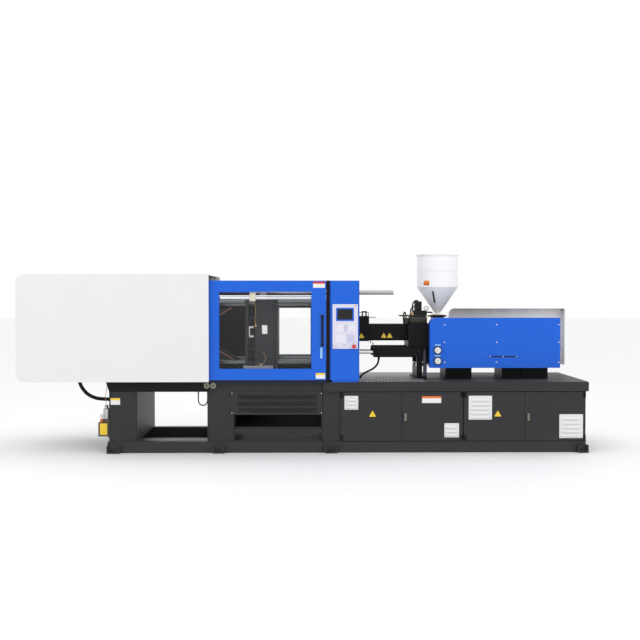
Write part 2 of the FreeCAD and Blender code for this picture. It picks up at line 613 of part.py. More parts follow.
def crosshead_link(sz):
    """Link from the rear link's arm to the crosshead, as two plates with the crosshead pin."""
    arm = lever_point(REST_ANGLE + ARM_ANGLE, ARM_LENGTH, sz)
    head = (crosshead_x(), AXIS_Z + sz * PIN_HEIGHT)
    solids = []
    for side in (1, -1):
        plate = join(bar_plate(arm, head, SMALL_EYE_RADIUS, span(ARM_LINK_Y, side)))
        solids.append(plate.cut(Part.makeCompound([y_rod(ARM_PIN_RADIUS + PIN_GAP, p[0], (-99, 99), p[1])
                                                   for p in (arm, head)])))
    solids.append(y_rod(ARM_PIN_RADIUS, head[0], (-ARM_LINK_Y[1], ARM_LINK_Y[1]), head[1]))
    return group(solids)


def crosshead():
    """Upright crosshead between the link pairs, on the clamp piston's rod."""
    x = crosshead_x()
    ends = (AXIS_Z - PIN_HEIGHT, AXIS_Z + PIN_HEIGHT)
    y = (-CROSSHEAD_Y, CROSSHEAD_Y)
    pieces = [block((x - 36, x + 36), y, ends), y_rod(36, x, y, ends[0]), y_rod(36, x, y, ends[1]),
              x_rod(70, (x - 36, x + 36), 0, AXIS_Z),
              x_rod(PISTON_ROD_RADIUS, (TAIL_FACE_X - TAIL_THICK - 200, x), 0, AXIS_Z),
              x_rod(PISTON_RADIUS - SLIDE_GAP, (TAIL_FACE_X - TAIL_THICK - 230, TAIL_FACE_X - TAIL_THICK - 195), 0, AXIS_Z)]
    bores = [y_rod(ARM_PIN_RADIUS + PIN_GAP, x, (-99, 99), z) for z in ends]
    return join(pieces).cut(Part.makeCompound(bores))


def tail_platen():
    """Tail platen with forked lugs for the rear toggle links and sliding feet."""
    x = (TAIL_FACE_X - TAIL_THICK, TAIL_FACE_X)
    half = (-PLATEN_HALF, PLATEN_HALF)
    pieces = [block(x, half, (AXIS_Z - PLATEN_HALF, AXIS_Z + PLATEN_HALF))]
    for sz in (1, -1):
        z = AXIS_Z + sz * PIN_HEIGHT
        for side in (1, -1):
            for y in (FORK_INNER_Y, FORK_OUTER_Y):
                pieces += bar_plate((x[1] - 5, z), (TAIL_PIN_X, z), EYE_RADIUS, span(y, side))
    for side in (1, -1):
        pieces.append(block(x, span((WAY_Y[0] + 10, PLATEN_HALF), side),
                            (CLAMP_BED_TOP + WAY_HEIGHT + SLIDE_GAP, AXIS_Z - PLATEN_HALF)))
    cuts = tie_holes((x[0] - 1, x[1] + 1), TIE_RADIUS + SLIDE_GAP)
    cuts += [y_rod(LINK_PIN_RADIUS + PIN_GAP, TAIL_PIN_X, (-300, 300), AXIS_Z + sz * PIN_HEIGHT) for sz in (1, -1)]
    cuts.append(x_rod(PISTON_ROD_RADIUS + SLIDE_GAP, (x[0] - 1, x[1] + 1), 0, AXIS_Z))
    return join(pieces).cut(Part.makeCompound(cuts))


def adjusting_nuts():
    back = TAIL_FACE_X - TAIL_THICK
    return group([n.cut(b) for n, b in zip(tie_holes((back - 70, back), TIE_RADIUS + 35),
                                           tie_holes((back - 71, back + 1), TIE_RADIUS + SLIDE_GAP))])


def clamp_cylinder():
    back = TAIL_FACE_X - TAIL_THICK
    x = (back - CLAMP_CYLINDER_LENGTH, back)
    body = join([x_rod(PISTON_RADIUS + 30, x, 0, AXIS_Z), x_rod(PISTON_RADIUS + 65, (x[1] - 45, x[1]), 0, AXIS_Z),
                 x_rod(PISTON_RADIUS + 50, (x[0], x[0] + 50), 0, AXIS_Z)])
    return body.cut(x_rod(PISTON_RADIUS, (x[0] + 40, x[1] - 30), 0, AXIS_Z)).cut(
        x_rod(PISTON_ROD_RADIUS + SLIDE_GAP, (x[1] - 31, x[1] + 1), 0, AXIS_Z))


def door(index):
    """Folded steel door with a vent opening, a hinge barrel on its pin line and, on two doors, a lock hole."""
    low, high, hinge = door_spans()[index]
    y = (-BED_Y - DOOR_THICK, -BED_Y - SLIDE_GAP)
    slab = block((low, high), y, DOOR_Z)
    slab = slab.cut(block((low + 20, high - 20), (y[0] + SHEET, y[1] + 1), (DOOR_Z[0] + 20, DOOR_Z[1] - 20)))
    vx, vz = vent_place(index)
    slab = slab.cut(block((vx[0] + 14, vx[1] - 14), (y[0] - 1, y[0] + SHEET + 1), (vz[0] + 14, vz[1] - 14)))
    if index in (1, 3):
        slab = slab.cut(y_rod(8 + PIN_GAP, lock_x(index), (y[0] - 1, y[1]), 362))
    pin_y = y[0] + HINGE_RADIUS
    barrels = [rod(HINGE_RADIUS, (hinge, pin_y, z), (hinge, pin_y, z + HINGE_LENGTH))
               for z in (DOOR_Z[0], DOOR_Z[1] - HINGE_LENGTH)]
    return join([slab, *barrels])


def vent_place(index):
    low, high, hinge = door_spans()[index]
    return (((low + 36, low + 176), (438, 579)), ((high - 186, high - 36), (155, 299)),
            ((low + 45, low + 283), (335, 579)), ((high - 267, high - 25), (145, 389)))[index]


def lock_x(index):
    return door_spans()[index][0] + 35


def door_lock(index):
    """Swing-handle lock turned through the door."""
    x = lock_x(index)
    face = -BED_Y - DOOR_THICK
    return join([block((x - 13, x + 13), (face - 14, face - SLIDE_GAP), (324, 401)), y_rod(8, x, (face - 1, face + 14), 362),
                 block((x - 12, x + 8), (face + 8, face + 12), (354, 370))])


def lubricator():
    """Grease pump on a bracket at the bed's left end: tank, filler cap and pump head."""
    y = (-BED_Y + 30, -BED_Y + 160)
    tank = block((-2098, -2000), y, (163, 308))
    bracket = block((-2000, BED_LEFT + 16), (y[0] + 10, y[1] - 10), (150, 340))
    cap = rod(22, (-2068, sum(y) / 2, 308), (-2068, sum(y) / 2, 336))
    head = block((-2049, -2000), (y[0] + 20, y[1] - 20), (308, 443))
    return group([tank, bracket, cap, head.cut(cap)])


def guide_pedestals():
    """Pedestals on the bed that carry the carriage rails, and the front leg under the seat cylinders."""
    parts = []
    for x in ((1488, 1766), (2087, 2280), (2286, 2574)):
        box = block(x, (-220, 220), (INJECTION_BED_TOP, GUIDE_Z[0]))
        parts.append(box.cut(block((x[0] + 20, x[1] - 20), (-200, 200), (INJECTION_BED_TOP - 1, GUIDE_Z[0] - 20))))
    leg_x = (1184, 1243)
    leg = [block(leg_x, (-225, 225), (INJECTION_BED_TOP, GUIDE_Z[0])),
           block((1160, 1244), (-235, 235), (INJECTION_BED_TOP, INJECTION_BED_TOP + 15))]
    for side in (1, -1):
        leg.append(block(leg_x, span((194, 225), side), (INJECTION_BED_TOP, SEAT_BOX_Z[0] - 1)))
    parts.append(join(leg))
    return group(parts)


def pump_unit():
    """Electric motor and hydraulic pump standing in the bed."""
    floor = SKID_HEIGHT + BED_WALL
    feet = [block((x, x + 60), (-140, 140), (floor, floor + 60)) for x in (1750.0, 2050.0)]
    return join([x_rod(150, (1720, 2150), 0, floor + 190), x_rod(50, (2150, 2240), 0, floor + 190),
                 block((2230, 2380), (-80, 80), (floor + 110, floor + 270))] + feet)


def purge_guard():
    """Box guard round the nozzle; it slides back over the barrel cover."""
    x, y, z = (FIXED_PLATEN_X + FIXED_PLATEN_THICK + SLIDE_GAP, 685.0), (-170, 170), (1114, 1377)
    shell = block(x, y, z).cut(block((x[0] - 1, x[1] + 1), (y[0] + 4, y[1] - 4), (z[0] - 1, z[1] - 4)))
    handle = block((615, 668), (-30, 30), (z[1], z[1] + 53)).cut(block((628, 655), (-31, 31), (z[1] + 1, z[1] + 38)))
    return join([shell, handle])


def barrel():
    """Plasticising barrel with its nozzle, bored for the screw, with the feed hole below the hopper."""
    end = HOUSING_X[1] - 1
    outer = turned([(NOZZLE_TIP_X, 0), (NOZZLE_TIP_X, 9), (NOZZLE_TIP_X + 14, 20), (BARREL_FRONT_X - 60, 24),
                    (BARREL_FRONT_X - 60, 38), (BARREL_FRONT_X, 42), (BARREL_FRONT_X, BARREL_RADIUS),
                    (end, BARREL_RADIUS), (end, 0)], True)
    inner = turned([(NOZZLE_TIP_X - 1, 0), (NOZZLE_TIP_X - 1, 4), (BARREL_FRONT_X + 20, 4),
                    (BARREL_FRONT_X + 50, SCREW_RADIUS + 0.1), (end + 1, SCREW_RADIUS + 0.1), (end + 1, 0)], True)
    body = outer.cut(inner)
    body.translate(Vector(0, 0, AXIS_Z))
    return body.cut(rod(THROAT_RADIUS, (HOPPER_X, 0, AXIS_Z), (HOPPER_X, 0, AXIS_Z + 99)))


def screw():
    """Plasticising screw: conical tip, core with flights one diameter apart, and a plain shank."""
    tip = BARREL_FRONT_X + 56
    shank = 1490.0
    core = 0.62 * SCREW_RADIUS
    profile = [(tip, 0), (tip, 2), (tip + 40, core)]
    start = tip + 60
    pitch = 2 * SCREW_RADIUS
    for i in range(int((shank - start) / pitch)):
        a = start + i * pitch
        profile += [(a, core), (a, SCREW_RADIUS), (a + 6, SCREW_RADIUS), (a + 6, core)]
    profile += [(shank, core), (shank, SCREW_RADIUS), (RAM_X[0] - 1, SCREW_RADIUS), (RAM_X[0] - 1, 0)]
    body = turned(profile, True)
    body.translate(Vector(0, 0, AXIS_Z))
    return body


def barrel_cover():
    x, y, z = (686, HOUSING_X[0]), (-110, 110), (1118, 1294)
    shell = block(x, y, z).cut(block((x[0] + 3, x[1] + 1), (y[0] + 3, y[1] - 3), (z[0] + 3, z[1] - 3)))
    return shell.cut(x_rod(BARREL_RADIUS + 5, (x[0] - 1, x[0] + 9), 0, AXIS_Z))


def feed_housing():
    """Front injection plate: barrel bore, feed throat, spacers under the hopper flange, and carriage shoes."""
    y = (-HOUSING_HALF_WIDTH, HOUSING_HALF_WIDTH)
    pieces = [block(HOUSING_X, y, HOUSING_Z), block((1370, 1490), (-90, 90), (HOUSING_Z[1], 1369))]
    for side in (1, -1):
        pieces.append(block((1262, 1480), span((GUIDE_Y[0] - 15, GUIDE_Y[1] + 2), side),
                            (GUIDE_Z[1] + SLIDE_GAP, HOUSING_Z[0])))
        pieces.append(block((1345, 1515), span((46, 90), side), (1369, HOPPER_Z[0])))
        pieces.append(block(SEAT_BOX_X, span((SEAT_Y - 20, SEAT_Y + 20), side), (SEAT_BOX_Z[1], HOUSING_Z[0])))
    body = join(pieces)
    body = body.cut(x_rod(BARREL_RADIUS + PIN_GAP, (HOUSING_X[0] - 1, HOUSING_X[1] + 1), 0, AXIS_Z))
    return body.cut(rod(THROAT_RADIUS, (HOPPER_X, 0, AXIS_Z), (HOPPER_X, 0, 1370)))


def carriage_cylinders():
    """Two seat cylinders below the housing and two injection cylinders behind it."""
    z = sum(SEAT_BOX_Z) / 2
    solids = []
    for side in (1, -1):
        box = block(SEAT_BOX_X, span((SEAT_Y - 51, SEAT_Y + 51), side), SEAT_BOX_Z)
        box = box.cut(x_rod(35, (SEAT_BOX_X[0] + 40, SEAT_BOX_X[1] - 20), side * SEAT_Y, z))
        solids.append(box.cut(x_rod(SEAT_ROD_RADIUS + SLIDE_GAP, (SEAT_BOX_X[0] - 1, SEAT_BOX_X[0] + 41), side * SEAT_Y, z)))
        y = side * INJECTION_CYLINDER_Y
        tube = x_rod(70, (HOUSING_X[1], 2000), y, AXIS_Z).cut(x_rod(50, (HOUSING_X[1] + 30, 1980), y, AXIS_Z))
        solids.append(tube.cut(x_rod(25 + SLIDE_GAP, (1979, 2001), y, AXIS_Z)))
    return group(solids)


def ram_plate():
    """Thrust plate on the carriage rails with the injection piston rods and the screw motor."""
    pieces = [block(RAM_X, (-320, 320), (1090, 1310)), x_rod(100, (RAM_X[1], 2320), 0, AXIS_Z)]
    for side in (1, -1):
        pieces.append(block(RAM_X, span((GUIDE_Y[0] - 10, GUIDE_Y[1]), side), (GUIDE_Z[1] + SLIDE_GAP, 1091)))
        y = side * INJECTION_CYLINDER_Y
        pieces.append(x_rod(25, (1640, RAM_X[0]), y, AXIS_Z))
        pieces.append(x_rod(50 - SLIDE_GAP, (1620, 1645), y, AXIS_Z))
    return join(pieces)


def hopper():
    """Thin-walled hopper: flange, neck, cone, cylinder and rolled rim."""
    flange, neck, cone, top = HOPPER_Z
    r = HOPPER_NECK_RADIUS
    wall = 2.5
    body = turned([(flange, r - wall), (flange, 62), (flange + 8, 62), (flange + 8, r), (neck, r), (cone, HOPPER_RADIUS),
                   (top - 5, HOPPER_RADIUS), (top - 5, HOPPER_RIM_RADIUS), (top, HOPPER_RIM_RADIUS),
                   (top, HOPPER_RADIUS - wall), (cone, HOPPER_RADIUS - wall), (neck, r - wall)], False)
    body.translate(Vector(HOPPER_X, 0, 0))
    return body


def hopper_lid():
    top = HOPPER_Z[3] + SLIDE_GAP
    body = turned([(top, 0), (top, HOPPER_RIM_RADIUS), (top + 6, HOPPER_RIM_RADIUS), (top + 18, HOPPER_RIM_RADIUS - 30),
                   (top + 28, 110), (HOPPER_TOP, 40), (HOPPER_TOP, 0)], False)
    body.translate(Vector(HOPPER_X, 0, 0))
    return body


def hopper_gate():
    """Shut-off plate under the hopper with a through hole; pushed in it closes the throat."""
    z = (1369 + SLIDE_GAP, HOPPER_Z[0] - SLIDE_GAP)
    plate = block((1328, 1520), (-40, 40), z)
    return plate.cut(rod(THROAT_RADIUS, (HOPPER_X, 0, z[0] - 1), (HOPPER_X, 0, z[1] + 1)))


def side_cover(x, z, y, side, corner, lug_z):
    """Folded cover beside the injection unit with top and end returns, carried by an angled bracket."""
    face_y = span((y - 125, y), -1)
    outer = outline([(x[0], z[0]), (x[1], z[0]), (x[1], z[1], 12), (x[0], z[1], corner)], face_y)
    inner = outline([(x[0] + SHEET, z[0] - 9), (x[1] - SHEET, z[0] - 9), (x[1] - SHEET, z[1] - SHEET, 9),
                     (x[0] + SHEET, z[1] - SHEET, corner - SHEET)], (face_y[0] + SHEET, face_y[1] + 1))
    shell = outer.cut(inner)
    arm = block((HOUSING_X[1] - 60, HOUSING_X[1] - 10), (-y + SHEET - 1, -HOUSING_HALF_WIDTH), lug_z)
    reach = block((HOUSING_X[1] - 60, x[0] + 330), (-y + SHEET - 1, -y + 60), lug_z)
    cover = join([shell, arm, reach])
    return cover if side < 0 else cover.mirror(Vector(0, 0, 0), Vector(0, 1, 0))


# hose routes, chosen by hand (X, Y, Z), and diameters
HOSES = {
    "hose_main": (38.0, [(-2362, -300, 900), (-2362, -300, 790), (-2347, -300, 672), (-2284, -300, 579),
                         (-2194, -300, 527), (-2088, -300, 514), (-1981, -300, 514)]),
    "hose_bundle": (40.0, [(1267, -215, 1055), (1267, -215, 985), (1268, -228, 915), (1270, -242, 845),
                           (1268, -246, 780), (1266, -247, 722)]),
    "hose_loop": (12.0, [(-1090, -500, 620), (-1090, -500, 582), (-1091, -500, 544), (-1088, -500, 506),
                         (-1076, -500, 482), (-1056, -500, 470), (-1030, -500, 470), (-1009, -500, 483),
                         (-997, -500, 507), (-994, -500, 544), (-995, -500, 582), (-995, -500, 620)]),
    "hose_seat": (20.0, [(785, -200, 948), (785, -200, 908), (768, -208, 865), (730, -216, 828),
                         (682, -223, 803), (636, -229, 785), (606, -233, 762), (584, -235, 730)]),
}


def hose(name):
    """Tube along straight runs and tangent arcs; prints its radii and its volume against section times length."""
    diameter, points = HOSES[name]
    points = [Vector(*p) for p in points]
    edges = []
    last = points[0]
    radii = []
    for before, here, after in zip(points, points[1:], points[2:]):
        back, ahead = before - here, after - here
        shorter = min(back.Length, ahead.Length)
        back.normalize()
        ahead.normalize()
        turn = math.pi - back.getAngle(ahead)
        radius = 0.45 * shorter / math.tan(turn / 2)
        radii.append(round(radius))
        first, final = here + back * (0.45 * shorter), here + ahead * (0.45 * shorter)
        middle = back + ahead
        middle.normalize()
        centre = here + middle * (radius / math.cos(turn / 2))
        edges.append(Part.makeLine(last, first))
        edges.append(Part.Arc(first, centre - middle * radius, final).toShape())
        last = final
    edges.append(Part.makeLine(last, points[-1]))
    path = Part.Wire(edges)
    ring = Part.Wire(Part.makeCircle(diameter / 2, points[0], points[1] - points[0]))
    tube = path.makePipeShell([ring], True, False)
    share = tube.Volume / (math.pi * diameter ** 2 / 4 * path.Length)
    print(name, "radii", radii, "length", round(path.Length), "volume share", round(share, 4))
    return tube


def main():
    save("clamp_bed", join([clamp_bed()] + roller_axles()))
    save("injection_bed", injection_bed())
    save("air_grille", air_grille())
    save("fixed_platen", fixed_platen())
    save("tie_bars", tie_bars())
    save("front_clamp_cover", clamp_cover(True))
    save("rear_clamp_cover", clamp_cover(False))
    save("cover_frame", cover_frame())
    save("guide_bars", guide_bars())
    save("gate_posts", gate_posts())
    save("control_cabinet", control_cabinet())
    save("control_panel", control_panel())
    save("estop_button", estop_button())
    save("key_switch", key_switch())
    save("lubricator", lubricator())
    save("guide_pedestals", guide_pedestals())
    save("pump_unit", pump_unit())
    save("tail_platen", tail_platen())
    save("adjusting_nuts", adjusting_nuts())
    save("clamp_cylinder", clamp_cylinder())
    save("crosshead", crosshead())
    for name, sz in (("upper", 1), ("lower", -1)):
        save("rear_link_" + name, rear_link(sz))
        save("front_link_" + name, front_link(sz))
        save("crosshead_link_" + name, crosshead_link(sz))
    save("moving_platen", moving_platen())
    save("platen_shoes", slide_shoes((-632, -323), 72))
    save("safety_rod", safety_rod())
    save("ejector", ejector())
    mirror = (Vector(0, 0, 0), Vector(0, 1, 0))
    save("front_gate", sliding_gate(True))
    save("rear_gate", sliding_gate(False).mirror(*mirror))
    save("front_gate_window", glazing(True))
    save("rear_gate_window", glazing(False).mirror(*mirror))
    save("gate_handle", gate_handle())
    for number, x in enumerate(ROLLER_X, 1):
        save("gate_roller_%d" % number, gate_roller(x)[0])
    for index in range(4):
        save("door_%d" % (index + 1), door(index))
    save("door_lock_1", door_lock(1))
    save("door_lock_2", door_lock(3))
    save("purge_guard", purge_guard())
    save("barrel", barrel())
    save("barrel_cover", barrel_cover())
    save("screw", screw())
    save("feed_housing", feed_housing())
    save("carriage_cylinders", carriage_cylinders())
    save("ram_plate", ram_plate())
    save("hopper", hopper())
    save("hopper_lid", hopper_lid())
    save("hopper_gate", hopper_gate())
    save("injection_cover", side_cover(BLUE_COVER_X, BLUE_COVER_Z, BLUE_COVER_Y, -1, 60.0, (1150, 1250)))
    save("rear_injection_cover", side_cover(WHITE_COVER_X, WHITE_COVER_Z, WHITE_COVER_Y, 1, 60.0, (1150, 1250)))
    for name in HOSES:
        save(name, hose(name))


main()
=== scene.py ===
import math

import bmesh
import bpy
import numpy as np
from mathutils import Euler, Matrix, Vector


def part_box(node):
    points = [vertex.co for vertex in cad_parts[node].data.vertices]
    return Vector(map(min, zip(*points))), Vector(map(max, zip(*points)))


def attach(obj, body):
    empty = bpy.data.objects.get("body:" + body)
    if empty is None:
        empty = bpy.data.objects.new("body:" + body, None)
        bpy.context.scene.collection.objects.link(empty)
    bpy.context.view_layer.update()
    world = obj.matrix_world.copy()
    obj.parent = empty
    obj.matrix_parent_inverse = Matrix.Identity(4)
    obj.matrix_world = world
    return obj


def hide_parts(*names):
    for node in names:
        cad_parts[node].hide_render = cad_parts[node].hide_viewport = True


bl_info = {
    "name": "Moulding machine finish",
    "version": (1, 0, 0),
    "blender": (4, 5, 0),
    "location": "3D View > Sidebar > Moulding machine",
    "description": "Builds the trim, hoses, plates and finishes of an injection moulding machine",
    "category": "Object",
}

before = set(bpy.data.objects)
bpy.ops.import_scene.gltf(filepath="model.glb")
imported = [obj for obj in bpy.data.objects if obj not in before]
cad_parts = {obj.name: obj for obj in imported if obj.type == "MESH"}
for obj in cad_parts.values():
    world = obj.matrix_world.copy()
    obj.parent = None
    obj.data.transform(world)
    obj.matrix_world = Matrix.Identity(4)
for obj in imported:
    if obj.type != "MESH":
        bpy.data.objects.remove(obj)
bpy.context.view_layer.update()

# axes and sizes that several pieces share, in metres
AXIS_Z = 1.2
RAIL_Y = 0.607
HOPPER_X = 1.430
SEAT_X, SEAT_Y, SEAT_Z = 0.729, 0.200, 0.999
HINGE_RADIUS = 0.005
HOUSING_TOP = 1.298
# thickness of the black sheet of painted shade on the rear guard's inner face
SHADE_SHEET = 0.0012
# edges folded more than this many degrees stay sharp
SHARP_ANGLE = 38

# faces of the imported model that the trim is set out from, in metres
GATE_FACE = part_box("front_gate")[0][1]
GATE_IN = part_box("rear_gate")[0][1]
PANEL_LOW, PANEL_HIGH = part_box("control_panel")
BED_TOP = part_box("injection_bed")[1][2]
DOORS = []
for number, hinge_sides in enumerate(((1, 0), (0, 1), (1, 0), (0, 1)), 1):
    low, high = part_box("door_%d" % number)
    DOORS.append((low[0] + HINGE_RADIUS * hinge_sides[0], high[0] - HINGE_RADIUS * hinge_sides[1]))
DOOR_FACE, DOOR_Z = low[1], (low[2], high[2])
COVER_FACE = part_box("injection_cover")[0][1]
GRILLE_LOW, GRILLE_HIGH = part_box("air_grille")
HOUSING_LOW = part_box("feed_housing")[0]
HOPPER_LOW, HOPPER_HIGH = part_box("hopper")
BARREL_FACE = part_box("barrel_cover")[0][1]
PLATEN_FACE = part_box("moving_platen")[0][1]


# ---------------------------------------------------------------- shapes

def grid_faces(rows, columns, wrap, offset=0):
    """Quads of a grid of rows by columns; wrap joins the last column to the first."""
    r = np.arange(rows - 1)[:, None]
    c = np.arange(columns if wrap else columns - 1)[None, :]
    n = (c + 1) % columns
    quads = np.stack([r * columns + c, r * columns + n, (r + 1) * columns + n, (r + 1) * columns + c], -1)
    return (quads.reshape(-1, 4) + offset).tolist()


def rounded_box(low, high, radius=0.002, steps=3):
    """A sphere's grid pushed out to a box's corners: r * n + (half - r) * sign(n), closed at both poles."""
    low, high = np.array(low, float), np.array(high, float)
    half, centre = (high - low) / 2, (high + low) / 2
    radius = min(radius, half.min() * 0.95)
    quarter = (np.arange(steps) / (steps - 1)) * math.pi / 2
    turn = np.concatenate([quarter + k * math.pi / 2 for k in range(4)])
    sx = np.repeat([1, -1, -1, 1], steps)
    sy = np.repeat([1, 1, -1, -1], steps)
    rise = np.concatenate([quarter - math.pi / 2, quarter])
    sz = np.repeat([-1, 1], steps)
    x = radius * np.cos(rise)[:, None] * np.cos(turn) + (half[0] - radius) * sx
    y = radius * np.cos(rise)[:, None] * np.sin(turn) + (half[1] - radius) * sy
    z = radius * np.sin(rise)[:, None] + ((half[2] - radius) * sz)[:, None] + 0 * x
    points = np.stack([x, y, z], -1).reshape(-1, 3) + centre
    rows, columns = len(rise), len(turn)
    faces = grid_faces(rows, columns, True)
    faces += [list(range(columns))[::-1], list(range((rows - 1) * columns, rows * columns))]
    return points, faces


def turned(profile, centre, axis="z", segments=32):
    """Profile (distance along the axis, radius) swept round the axis; ends close at radius zero."""
    profile = np.array(profile, float)
    angle = np.linspace(0, 2 * math.pi, segments, endpoint=False)
    along = np.repeat(profile[:, :1], segments, 1)
    a = profile[:, 1:] * np.cos(angle)
    b = profile[:, 1:] * np.sin(angle)
    order = {"x": (along, a, b), "y": (a, along, b), "z": (a, b, along)}[axis]
    points = np.stack(order, -1).reshape(-1, 3) + np.array(centre, float)
    return points, grid_faces(len(profile), segments, True)


def smooth_path(points, per_run=8):
    """Catmull-Rom line through the points: cubic blend of each four neighbours, ends repeated."""
    p = np.array(points, float)
    p = np.vstack([2 * p[0] - p[1], p, 2 * p[-1] - p[-2]])
    t = np.linspace(0, 1, per_run, endpoint=False)[None, :, None]
    a, b, c, d = p[:-3, None], p[1:-2, None], p[2:-1, None], p[3:, None]
    line = (2 * b + (c - a) * t + (2 * a - 5 * b + 4 * c - d) * t ** 2 + (3 * b - a - 3 * c + d) * t ** 3) / 2
    return np.vstack([line.reshape(-1, 3), p[-2:-1]])


def pipe(points, radius, segments=14, per_run=8, straight=False):
    """Circle carried along a line: point + r * (cos * side + sin * over), with flat ends."""
    line = np.array(points, float) if straight else smooth_path(points, per_run)
    ahead = np.gradient(line, axis=0)
    ahead /= np.linalg.norm(ahead, axis=1)[:, None]
    spread = ahead.sum(0)
    helper = np.eye(3)[np.argmin(np.abs(ahead).max(0) + 1e-3 * np.abs(spread))]
    side = np.cross(ahead, helper)
    side /= np.linalg.norm(side, axis=1)[:, None]
    over = np.cross(ahead, side)
    angle = np.linspace(0, 2 * math.pi, segments, endpoint=False)
    ring = side[:, None] * np.cos(angle)[None, :, None] + over[:, None] * np.sin(angle)[None, :, None]
    points = (line[:, None] + radius * ring).reshape(-1, 3)
    rows = len(line)
    faces = grid_faces(rows, segments, True)
    faces += [list(range(segments))[::-1], list(range((rows - 1) * segments, rows * segments))]
    return points, faces


def together(shapes):
    """Several (points, faces) pairs as one."""
    points, faces, count = [], [], 0
    for p, f in shapes:
        points.append(np.asarray(p, float))
        faces += [[i + count for i in face] for face in f]
        count += len(p)
    return np.vstack(points), faces


def bolt_head(centre, axis, radius, height):
    """Socket-head screw: a turned cap with a chamfer and a sunk socket, facing along -axis or +axis."""
    sign = -1 if height < 0 else 1
    h = abs(height)
    profile = [(0, 0), (0, radius), (h * 0.8, radius), (h, radius * 0.85), (h, radius * 0.5),
               (h * 0.45, radius * 0.5),
               (h * 0.45, 0)]
    return turned([(sign * a, r) for a, r in profile], centre, axis, 12)


def louvre_sheet(x, z, face, slats, depth=0.012):
    """Pressed louvres: the sheet stands out by depth * saw(z) * step(x), one tooth a slat."""
    u = np.linspace(0, 1, 25)
    v = np.concatenate([(k + np.array([0.0, 0.10, 0.14, 0.55, 0.80, 0.86])) / slats
                        for k in range(slats)] + [[1.0]])
    tooth = np.concatenate([np.tile([0, 0, 1.0, 0.72, 0.35, 0], slats), [0]])
    fade = np.clip(np.minimum(u, 1 - u) * 9, 0, 1)
    fade = fade * fade * (3 - 2 * fade)
    gx = x[0] + (x[1] - x[0]) * u[None, :] + 0 * v[:, None]
    gz = z[0] + (z[1] - z[0]) * v[:, None] + 0 * u[None, :]
    gy = face - depth * tooth[:, None] * fade[None, :]
    front = np.stack([gx, gy, gz], -1).reshape(-1, 3)
    back = front + [0, 0.0012, 0]
    rows, columns = len(v), len(u)
    count = len(front)
    faces = grid_faces(rows, columns, False) + [f[::-1] for f in grid_faces(rows, columns, False, count)]
    edge = np.concatenate([np.arange(columns), np.arange(1, rows) * columns + columns - 1,
                           (rows - 1) * columns + np.arange(columns - 2, -1, -1),
                           np.arange(rows - 2, 0, -1) * columns])
    follow = np.roll(edge, -1)
    faces += np.stack([edge, edge + count, follow + count, follow], -1).tolist()
    return np.vstack([front, back]), faces


def frame_bars(low, high, width, radius=0.0015):
    """Four rounded bars round a rectangle in the XZ plane."""
    (x0, y0, z0), (x1, y1, z1) = low, high
    return together([rounded_box((x0, y0, z0), (x1, y1, z0 + width), radius),
                     rounded_box((x0, y0, z1 - width), (x1, y1, z1), radius),
                     rounded_box((x0, y0, z0 + width), (x0 + width, y1, z1 - width), radius),
                     rounded_box((x1 - width, y0, z0 + width), (x1, y1, z1 - width), radius)])


# ---------------------------------------------------------------- shader groups and materials

def node_group(name, inputs, outputs):
    """An empty shader group with its sockets, and its input and output nodes."""
    group = bpy.data.node_groups.new(name, "ShaderNodeTree")
    for label, kind, value in inputs:
        socket = group.interface.new_socket(label, in_out="INPUT", socket_type=kind)
        socket.default_value = value
    for label, kind in outputs:
        group.interface.new_socket(label, in_out="OUTPUT", socket_type=kind)
    return group, group.nodes.new("NodeGroupInput"), group.nodes.new("NodeGroupOutput")


def add_math(tree, operation, a, b=None, c=None, clamp=False):
    """A math node fed by numbers or sockets; gives its output."""
    node = tree.nodes.new("ShaderNodeMath")
    node.operation = operation
    node.use_clamp = clamp
    for socket, value in zip(node.inputs, (a, b, c)):
        if value is None:
            continue
        if isinstance(value, (int, float)):
            socket.default_value = value
        else:
            tree.links.new(value, socket)
    return node.outputs[0]


def add_noise(tree, vector, scale, detail=4.0, rough=0.55):
    """A noise texture over a vector; gives its grey output."""
    node = tree.nodes.new("ShaderNodeTexNoise")
    node.inputs["Detail"].default_value = detail
    node.inputs["Roughness"].default_value = rough
    tree.links.new(vector, node.inputs["Vector"])
    if isinstance(scale, (int, float)):
        node.inputs["Scale"].default_value = scale
    else:
        tree.links.new(scale, node.inputs["Scale"])
    return node.outputs["Fac"]


def mix_colour(tree, factor, a, b):
    """A colour mix node from a to b; gives its output."""
    node = tree.nodes.new("ShaderNodeMix")
    node.data_type = "RGBA"
    for socket, value in ((node.inputs[0], factor), (node.inputs[6], a), (node.inputs[7], b)):
        if isinstance(value, (int, float, tuple)):
            socket.default_value = value
        else:
            tree.links.new(value, socket)
    return node.outputs[2]


